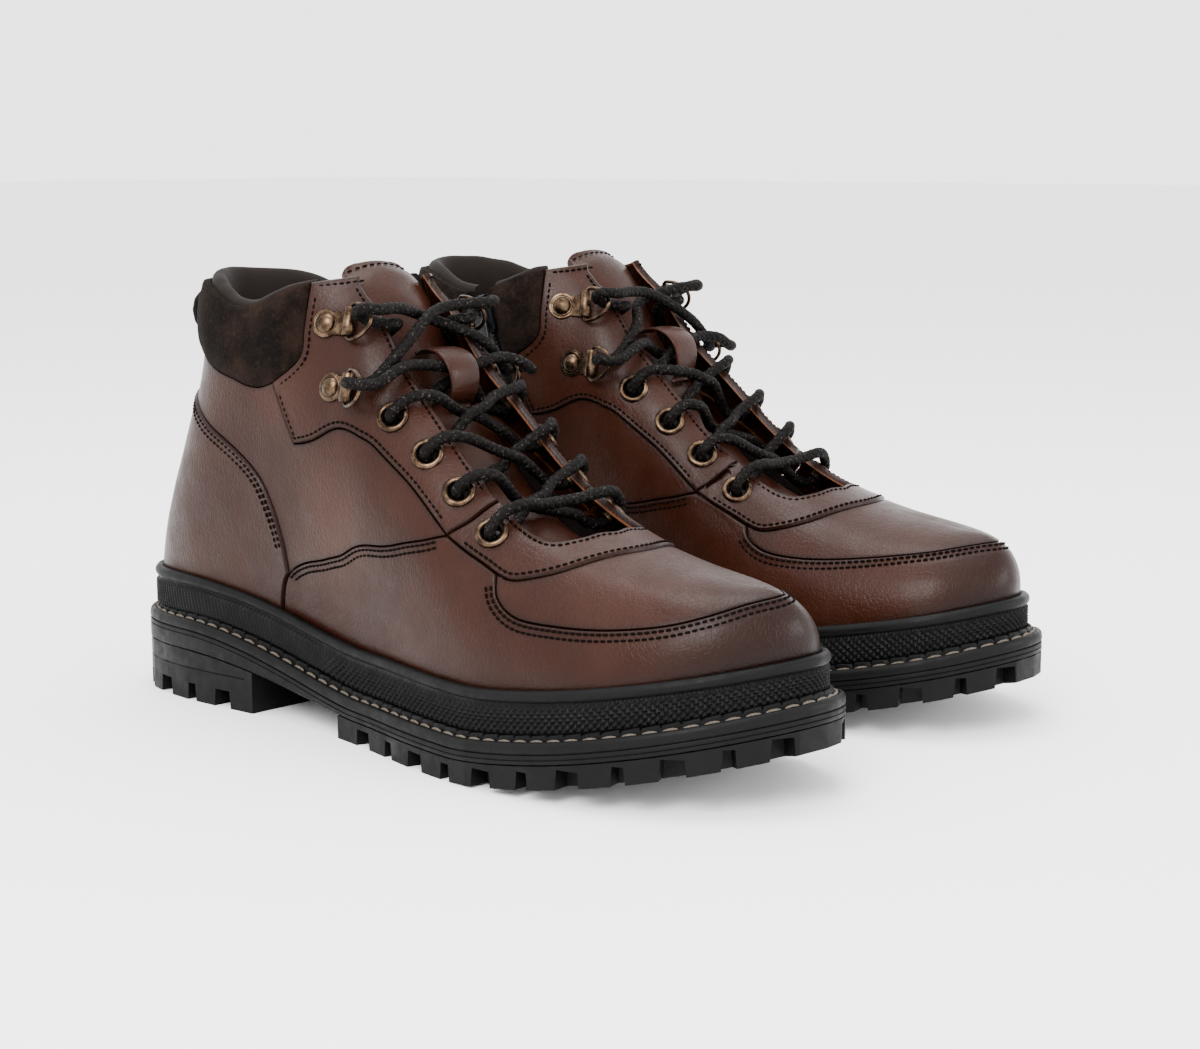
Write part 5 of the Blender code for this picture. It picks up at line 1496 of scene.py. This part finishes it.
def half_lace(start_side):
    """The lace from the middle of its lowest bar to its end, starting towards one side."""
    over = start_side == "outer"
    side = start_side
    arrived = 11.5
    route = [off_skin(11.58, 10 * SIDES[side], -0.6), off_skin(arrived, 19 * SIDES[side], 4.0)]
    for k, (rib, height) in enumerate(EYELETS):
        s = SIDES[side]
        spot = Spot(side, rib, height)
        centre = abs(float(spot.origin[1]))
        leaving, middle, arriving = CROSSINGS[k][:3]
        deep = CROSSINGS[k][3] - (0.0 if over else STRAND_GAP)
        before, after = (-1.0, 1.5) if over else (-0.3, 0.9)
        route += [off_skin(rib + (arrived - rib) * 0.45, (centre - 5.0) * s, 4.7),
                  spot(out=2.8), spot(out=-4.9),
                  off_skin((rib + leaving) / 2, (centre - 4.7) * s, -9.2), off_skin(leaving, 19 * s, -9.0),
                  off_skin(middle + (leaving - middle) / 3, 6.5 * s, deep + before),
                  off_skin(middle, 0, deep),
                  off_skin(middle + (arriving - middle) / 3, -6.5 * s, deep + after)]
        if k + 1 < len(EYELETS):
            route.append(off_skin(arriving, -19 * s, 4.0))
        arrived = arriving
        side = "inner" if side == "outer" else "outer"
    s = SIDES[side]
    lower, upper = CLIPS
    route += [off_skin(CROSSINGS[-1][2], 18.5 * s, 3.8), (150.5, 28.5 * s, 129.0), (150.2, 37.0 * s, 125.2)]
    route += [round_wire(side, lower, angle, up)
              for angle, up in ((20, 0.6), (75, 0.8), (130, 1.1), (180, 1.6), (-120, 2.3))]
    route += [(144.3, 19.5 * s, 135.7), off_skin(7.6, 0, 0.2 if over else 0.2 - STRAND_GAP),
              (139.4, -17.0 * s, 148.8)]
    side = "inner" if side == "outer" else "outer"
    s = SIDES[side]
    route += [round_wire(side, upper, angle, up)
              for angle, up in ((15, 2.6), (70, 2.4), (125, 2.0), (180, 1.4), (-120, 0.5))]
    route += [(u, w * s, z) for u, w, z in LACE_TAIL]
    return route


def smooth_line(points):
    """Close points on a Catmull-Rom curve through points."""
    points = np.array(points, float)
    padded = np.concatenate([[2 * points[0] - points[1]], points, [2 * points[-1] - points[-2]]])
    line = []
    for p0, p1, p2, p3 in zip(padded, padded[1:], padded[2:], padded[3:]):
        s0, s1, s2 = (math.dist(a, b) ** 0.5 for a, b in ((p0, p1), (p1, p2), (p2, p3)))
        first = ((p1 - p0) / s0 - (p2 - p0) / (s0 + s1) + (p2 - p1) / s1) * s1
        second = ((p2 - p1) / s1 - (p3 - p1) / (s1 + s2) + (p3 - p2) / s2) * s1
        line += [hermite(f, p1, first, p2, second) for f in np.arange(0, 1, 0.05)]
    return np.array(line + [points[-1]])


def ring_wire(side, clip_at):
    """D-shaped ring, rounder than the frame's."""
    spot, centre = ring_axis(side, clip_at)
    reach = ring_direction(spot)
    line = [(0.0, b) for b in np.linspace(-RING_HALF * 0.86, RING_HALF * 0.86, 12)]
    angles = np.radians(np.linspace(84, -84, 34))
    line += [(RING_REACH * max(math.cos(a), 0.0) ** 0.9, RING_HALF * math.sin(a)) for a in angles]
    return wire([centre + reach * a + spot.up * b for a, b in line], RING_WIRE)


# ---------------------------------------------------------------- laces
LACE_LOOK = 4.1               # diameter over the braid
BRAID_STRANDS, BRAID_PITCH, BRAID_DEPTH = 4, 6.0, 0.24


def lace_line():
    """Even points along the lace's middle line, and its length in mm."""
    line = smooth_line(half_lace("inner")[::-1] + [off_skin(11.6, 0, -2.2)] + half_lace("outer"))
    run = run_along(line)
    at = np.arange(0, run[-1], 0.45)
    return np.column_stack([np.interp(at, run, line[:, k]) for k in range(3)]), run[-1]


def braided(line, sides=22):
    """Cord with two sets of strands winding opposite ways over it."""
    way = unit(np.gradient(line, axis=0))
    way = unit(way + np.roll(way, 1, 0) + np.roll(way, -1, 0))
    run = np.cumsum(np.linalg.norm(np.diff(line, axis=0, prepend=line[:1]), axis=1))
    angles = 2 * math.pi * np.arange(sides) / sides
    turn = 2 * math.pi * run[:, None] / BRAID_PITCH * BRAID_STRANDS / 2
    strand = np.maximum(np.cos(BRAID_STRANDS * angles + turn), np.cos(BRAID_STRANDS * angles - turn))
    return swept(line, way, LACE_LOOK / 2 - BRAID_DEPTH + BRAID_DEPTH * strand, sides)


def show_lacing():
    line, length = lace_line()
    lace = braided(line)
    eyelets = merged([eyelet(Spot(side, *place)) for side in SIDES for place in EYELETS])
    clips = merged([clip_plate(Spot(side, *place)) for side in SIDES for place in CLIPS])
    for boot in HAND:
        piece(boot, "eyelets", eyelets, "brass", ("lace_hardware",))
        piece(boot, "ring_clips", clips, "brass")
        for side in SIDES:
            for level, place in zip(("lower", "upper"), CLIPS):
                name = f"d_ring_{level}_{side}"
                piece(boot, f"{name}_wire", ring_wire(side, place), "brass", (name,), body=name)
        made = piece(boot, "braided_lace", lace, "cord", ("lace",), smooth=180)
        path = placed(boot, line)
        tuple(path[0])


# ---------------------------------------------------------------- collar, lining and tongue
def folds(places, size):
    """Loose wrinkles of a padded cover."""
    u, w, z = np.asarray(places).T
    wide = np.sin(u / 5.3 + 0.9 * np.sin(z / 6.0)) * np.sin(w / 6.1 + z / 8.3)
    tight = np.sin(u / 2.4 + w / 3.1 + 1.4 * np.sin(z / 3.7))
    return size * (0.7 * wide + 0.3 * tight)


def padded_lift(places, edge):
    swell = 3.0 * (1 - np.exp(-np.maximum(edge, 0) / 4.2))
    return (0.2 + swell + folds(places, 0.32) * np.clip(edge / 3, 0, 1)
            - 0.35 * np.exp(-((edge - 2.4) / 0.7)**2))


def collar_outlines():
    other = mirrored(COLLAR_SIDE, "heel")
    gap = ZIP_RIB - SLOT
    rear = other[other[:, 0] > -gap - (1 - ZIP_COLLAR) * ZIP_SLOPE + 0.05]
    back_of_zip = [(-r, h) for r, h in beside_zip(-SLOT, (1.0, 0.9, ZIP_COLLAR))]
    main = outline_of(COLLAR_SIDE, FRONT, straight(FRONT[-1], (0, 1)), straight((0, 1), (-gap, 1)),
                      seam(back_of_zip), rear)
    top = (ZIP_RIB + SLOT, 1.0)
    front = outline_of(straight(beside_zip(SLOT, (ZIP_COLLAR,))[0], FRONT[0]), FRONT,
                       straight(FRONT[-1], top), seam(beside_zip(SLOT, (1.0, 0.9, ZIP_COLLAR))))
    return main, front


# Section of the rolled lining: depth under the skin, height over the top line.
ROLL_PROFILE = ((-3.0, -9.0), (-2.9, -3.0), (-2.8, -0.4), (-3.2, 1.0), (-4.2, 2.1), (-5.6, 2.6),
                (-7.0, 2.2), (-8.2, 1.0), (-8.9, -1.2), (-9.3, -4.0), (-9.4, -8.0), (-9.1, -13.0),
                (-8.6, -19.0), (-8.3, -26.0), (-8.2, -40.0), (-8.1, -58.0), (-7.9, -58.0), (-7.9, -9.0))
ROLL_FOLDS = (0.0,) * 2 + (0.4,) * 7 + (0.75,) * 6 + (0.4,) * 3      # size of the wrinkles there
ROLL_STEPS = 14                         # sections per rib
RIB_LENGTH = 118.0                      # of a rib below the collar, for heights given in mm


def collar_roll(start, end):
    """Leather lining turned over the top line, from one rib to another round the heel."""
    rows = np.array([[on_skin(rib, 1.0 + min(up, 0.0) / RIB_LENGTH, depth) + (0, 0, max(up, 0.0))
                      for depth, up in ROLL_PROFILE]
                     for rib in np.linspace(start, end, int(abs(end - start) * ROLL_STEPS))])
    push = np.stack([folds(rows[:, k], size) for k, size in enumerate(ROLL_FOLDS)], 1)
    rows = rows + unit(rows - rows.mean(1, keepdims=True)) * push[..., None]
    first, last = (np.repeat(r[:, 4:5], rows.shape[1], 1) for r in (rows[:1], rows[-1:]))
    return grid(np.concatenate([first, rows, last]), closed_columns=True)


# The middle of the tongue: its top end, then (rib, depth under the throat's ideal middle line).
TONGUE_TOP = [(109, 163.5), (117, 159.5)]
TONGUE_DEPTHS = [(7.05, -9.5), (7.6, -11.5), (8.2, -12.9), (9, -13.2), (10, -14.2), (11, -14.8),
                 (12, -12), (13, -7)]


def tongue_line():
    places = [off_skin(rib, 0.0, depth) for rib, depth in TONGUE_DEPTHS]
    return [np.array(p, float) for p in TONGUE_TOP] + [np.array((p[0], p[2])) for p in places]


TONGUE_LINE = tongue_line()
TONGUE_RADIUS = 32.0          # of its arch over the instep
TONGUE_THICK = 2.9


def tongue_point(along, across, depth):
    """Point of the tongue: along 0 to 1 from its top down, across in mm, depth under its face."""
    count = len(TONGUE_LINE) - 1
    k = min(int(along * count), count - 1)
    f = along * count - k
    before, after = TONGUE_LINE[max(k - 1, 0)], TONGUE_LINE[min(k + 2, count)]
    a, b = TONGUE_LINE[k], TONGUE_LINE[k + 1]
    middle = 0.5 * ((2 * a) + (b - before) * f + (2 * before - 5 * a + 4 * b - after) * f * f
                    + (3 * a - before - 3 * b + after) * f**3)
    way = 0.5 * ((b - before) * (1 - f) + (after - a) * f)
    normal = np.array([-way[1], way[0]]) / np.linalg.norm(way)
    turn = across / TONGUE_RADIUS
    drop = TONGUE_RADIUS * (1 - math.cos(turn)) + depth * math.cos(turn)
    spot = middle - normal * drop
    return np.array([spot[0], (TONGUE_RADIUS - depth) * math.sin(turn), spot[1]])


def tongue_half_width(along):
    wide_below = 1.5 * float(ramp(along, 0.1, 0.4)) + 4.0 * float(ramp(along, 0.5, 0.66))
    return 14.5 + 3.0 * min(1.0, along * 12) + wide_below


def rounded_strip(half, thick, top, flat=14):
    """Across a leather strip, as (across, depth): flat faces and round sides."""
    round_by = thick / 2
    over = [(x, top) for x in np.linspace(-half + round_by, half - round_by, flat)]
    turn = [(half - round_by + round_by * math.sin(a), top + round_by * (1 - math.cos(a)))
            for a in np.radians(np.arange(30, 180, 30))]
    return over + turn + [(x, top + thick) for x, _ in over[::-1]] + [(-x, d) for x, d in turn[::-1]]


def tongue_shape():
    rows = []
    for along in np.concatenate([np.linspace(0, 0.05, 8), np.linspace(0.055, 1, 110)]):
        corner = math.sqrt(max(0.0, 1 - (1 - min(1.0, along / 0.035))**2))
        half = tongue_half_width(along) - 4.0 * (1 - corner)
        lift = 0.35 * math.exp(-((along - 0.012) / 0.012)**2) - 0.25 * math.exp(-((along - 0.045) / 0.008)**2)
        row = []
        for across, depth in rounded_strip(half, TONGUE_THICK, 0.3, 22):
            crease = 0.35 * math.sin(along * 34 + across / 9) * math.sin(across / 7.0 + along * 11)
            rolled = 0.3 * math.exp(-((abs(across) - half + 1.6) / 1.1)**2)
            row.append(tongue_point(along, across, depth - lift - crease * 0.6 - rolled * (depth < 1)))
        rows.append(row)
    return tapered(rows)


# Places on the tongue where the keeper starts and ends, and its height over the laces.
KEEPER_START, KEEPER_END, KEEPER_LIFT = 0.405, 0.572, 12.0


def keeper_lift(f):
    return KEEPER_LIFT * math.sin(math.pi * min(max((f - 0.04) / 0.92, 0.0), 1.0)) ** 0.45 + 0.8


def keeper_along(f):
    """Place on the tongue at a share of the keeper's length."""
    return KEEPER_START + (KEEPER_END - KEEPER_START) * f


def keeper_shape():
    rows = []
    for f in np.concatenate([np.linspace(0, 0.12, 16), np.linspace(0.13, 0.87, 40),
                             np.linspace(0.88, 1, 16)]):
        hem = 0.35 * (math.exp(-((f - 0.93) / 0.03)**2) + math.exp(-((f - 0.02) / 0.03)**2))
        rows.append([tongue_point(keeper_along(f), across, depth - keeper_lift(f)) for across, depth in
                     rounded_strip(5.1, 1.5 + hem, -1.5 - hem, 8)])
    return tapered(rows)


HEM_STITCHES = (0.047, 13.0, 0.05, 9)   # on the tongue: place along, half-width, depth, count
KEEPER_STITCHES = 0.955                 # share of the keeper's length


def loose_stitches():
    """Stitches on the tongue's top hem and the keeper's lower end."""
    along, half, depth, count = HEM_STITCHES
    hem = np.array([tongue_point(along, x, depth) for x in np.linspace(-half, half, count)])
    way = unit(np.gradient(hem, axis=0))
    up = unit(np.cross(way, np.array([tongue_point(along + 0.01, 0, depth) - tongue_point(along, 0, depth)])))
    up = up * np.sign(up[:, 2:3] + 1e-9)
    f = KEEPER_STITCHES
    keeper = np.array([tongue_point(keeper_along(f), x, -keeper_lift(f) - 1.75)
                       for x in (-3.4, -1.1, 1.1, 3.4)])
    return merged([capsules(hem, way, up, 2.2, 0.33),
                   capsules(keeper, unit(np.gradient(keeper, axis=0)),
                            np.repeat([(-0.5, 0.0, 0.86)], len(keeper), 0), 1.5, 0.33)])


PULL_CENTRE, PULL_RADIUS = np.array([22.9, 142.0]), 7.1


def pull_tab_shape():
    rows = []
    for k, angle in enumerate(np.radians(np.linspace(62, 298, 50))):
        way = np.array([math.cos(angle), math.sin(angle)])
        row = []
        for across, depth in rounded_strip(7.5, 1.6, -0.8, 20):
            weave = 0.12 * math.sin(across * 3.2) * math.cos(k * 0.9)
            place = PULL_CENTRE + way * (PULL_RADIUS - depth + weave)
            row.append((place[0], across, place[1]))
        rows.append(row)
    return tapered(rows)


# ---------------------------------------------------------------- zip
def zip_point(height, lift):
    return on_skin(around("inner", zip_rib(height)), height, lift)


ZIP_HIGH = 0.985              # where the zip's top stops are
ZIP_TOP = zip_point(ZIP_HIGH, 0.8)
ZIP_FOOT = zip_point(ZIP_LOW, 0.8)
ZIP_UP = (ZIP_TOP - ZIP_FOOT) / np.linalg.norm(ZIP_TOP - ZIP_FOOT)
ZIP_OUT = square_to(skin_normal(around("inner", zip_rib(0.7)), 0.7), ZIP_UP)
ZIP_ACROSS = np.cross(ZIP_UP, ZIP_OUT)


def on_zip(up=0.0, across=0.0, out=0.0, origin=ZIP_TOP):
    return origin + ZIP_UP * up + ZIP_ACROSS * across + ZIP_OUT * out


SLIDER = on_zip(up=-9.0)                # the closed slider's middle
HINGE = on_zip(up=4.0, out=3.3, origin=SLIDER)        # the puller's pin
TOOTH_PITCH = 1.45

TOOTH = ((-2.4, -0.42), (-0.6, -0.50), (0.35, -0.62), (0.75, -0.35), (0.85, 0.0), (0.75, 0.35),
         (0.35, 0.62), (-0.6, 0.50), (-2.4, 0.42))


def zip_teeth():
    """Teeth of both sides, meshed along the middle of the chain."""
    length = float(np.linalg.norm(ZIP_TOP - ZIP_FOOT))
    found = []
    for k, place in enumerate(np.arange(0.9, length - 0.6, TOOTH_PITCH / 2)):
        sign = 1.0 if k % 2 else -1.0
        outline = [(-place + b, sign * a) for a, b in TOOTH]
        found.append(plate(outline if sign < 0 else outline[::-1], -2.6, -0.05, 0.14, on_zip))
    return merged(found)


# Section of one tape: distance from the zip's middle in ribs, height over the skin.
TAPE = ((0.62, -3.0), (0.3, -2.7), (0.14, -2.2), (0.11, -1.0), (0.08, -1.0), (0.08, -3.6), (0.62, -3.6))


def zip_tapes():
    found = []
    for sign in (-1.0, 1.0):
        rows = [[on_skin(around("inner", zip_rib(h) + sign * offset * 0.9), h, lift)
                 for offset, lift in (TAPE if sign < 0 else TAPE[::-1])]
                for h in np.linspace(ZIP_HIGH, ZIP_LOW, 40)]
        found.append(grid(rows, closed_columns=True))
    return merged(found)


def slider_shape():
    lay = lambda x, y, z: on_zip(x, y, z, origin=SLIDER)
    body = [(-6.0, -2.6), (-4.5, -3.2), (0.0, -3.4), (4.0, -3.95), (5.6, -3.7), (6.0, -2.6),
            (6.0, 2.6), (5.6, 3.7), (4.0, 3.95), (0.0, 3.4), (-4.5, 3.2), (-6.0, 2.6)]
    shapes = [plate(body[::-1], 0.35, 1.75, 0.3, lay)]
    for sign in (-1.0, 1.0):
        flange = [(-5.8, sign * 3.3), (-5.8, sign * 3.75), (5.2, sign * 4.15), (5.2, sign * 3.5)]
        shapes.append(plate(flange if sign > 0 else flange[::-1], -1.2, 0.6, 0.12, lay))
    side = lambda x, y, z: on_zip(x, z, y, origin=SLIDER)
    arch = [(1.0, 1.3), (7.0, 1.3), (7.0, 3.6), (6.4, 4.5), (5.2, 4.9), (3.0, 4.9), (1.8, 4.4), (1.0, 3.3)]
    hole = [(4.0 + 1.15 * math.cos(a), 3.3 + 1.15 * math.sin(a)) for a in np.radians(np.arange(0, 360, 24))]
    shapes.append(plate(arch, -0.9, 0.9, 0.15, side, holes=[hole]))
    return merged(shapes)


def puller_shape():
    lay = lambda x, y, z: on_zip(x, y, z, origin=HINGE)
    low = [(-26.2 + 2.8 * math.cos(a), 2.8 * math.sin(a)) for a in np.radians(np.linspace(110, 250, 15))]
    outline = [*low, (-22.0, -2.2), (-12.0, -1.9), (-6.4, -2.6), (-4.4, -2.9), (-3.9, -2.6),
               (-3.9, 2.6), (-4.4, 2.9), (-6.4, 2.6), (-12.0, 1.9), (-22.0, 2.2)]
    hole = [(-26.0 + 1.3 * math.cos(a), 1.3 * math.sin(a)) for a in np.radians(np.arange(0, 360, 20))]
    shapes = [plate(outline, -0.7, 0.7, 0.2, lay, holes=[hole])]
    for a, b in ((-2.65, -1.5), (1.5, 2.65)):
        arm = [(-5.0, a), (0.5, a), (0.85, a + 0.3), (0.85, b - 0.3), (0.5, b), (-5.0, b)]
        shapes.append(plate(arm, -0.65, 0.65, 0.15, lay))
    pin = [on_zip(0, y, 0, origin=HINGE) for y in (-2.5, 0.0, 2.5)]
    shapes.append(wire(pin, 0.72, closed=False))
    return merged(shapes)


def show_soft_parts():
    main, front = collar_outlines()
    soft = {"collar": panel("around", main, padded_lift, bottom=-2.5, spacing=2.0)[0],
            "collar_front_inner": panel("inner", front, padded_lift, bottom=-2.5, spacing=2.0)[0]}
    roll = merged([collar_roll(-(ZIP_RIB - SLOT) + 0.02, 5.5), collar_roll(-5.45, -(ZIP_RIB + SLOT) - 0.02)])
    pieces = (("collar_roll", roll, "lining", ()),
              ("tongue_skin", tongue_shape(), "leather", ("tongue",)),
              ("keeper_loop", keeper_shape(), "leather", ("lace_keeper",)),
              ("loose_stitching", loose_stitches(), "thread", ()),
              ("pull_loop", pull_tab_shape(), "webbing", ("pull_tab",)),
              ("zip_tapes", zip_tapes(), "webbing", ("zip_chain",)),
              ("zip_teeth", zip_teeth(), "gunmetal", ()))
    slider, puller = slider_shape(), puller_shape()
    for boot in HAND:
        for name, shape in soft.items():
            piece(boot, f"{name}_suede", shape, "suede", (name,))
        for name, shape, finish, nodes in pieces:
            piece(boot, name, shape, finish, nodes)
        piece(boot, "zip_slider_body", slider, "gunmetal", ("zip_slider",), body="zip_slider")
        piece(boot, "zip_puller_plate", puller, "gunmetal", ("zip_puller",), body="zip_puller")


def show_upper():
    rows = stitch_rows()
    panels = leather_panels(rows)
    thread = merged([stitched(*row) for row in rows])
    for boot in HAND:
        for name, (shape, near) in panels.items():
            piece(boot, f"{name}_skin", shape, "leather", (name,), marks=leather_marks(shape, near))
        piece(boot, "upper_stitching", thread, "thread")


def dress_cad():
    """Materials for the CAD nodes that show."""
    looks = {m["node"]: m["material_slot"] for m in frame["record"]["subparts"]}
    for name, node in frame["nodes"].items():
        node.data.materials.clear()
        node.data.materials.append(FINISHES[looks[name]][1]())


def main():
    studio()
    dress_cad()
    show_upper()
    show_sole()
    show_lacing()
    show_soft_parts()


main()
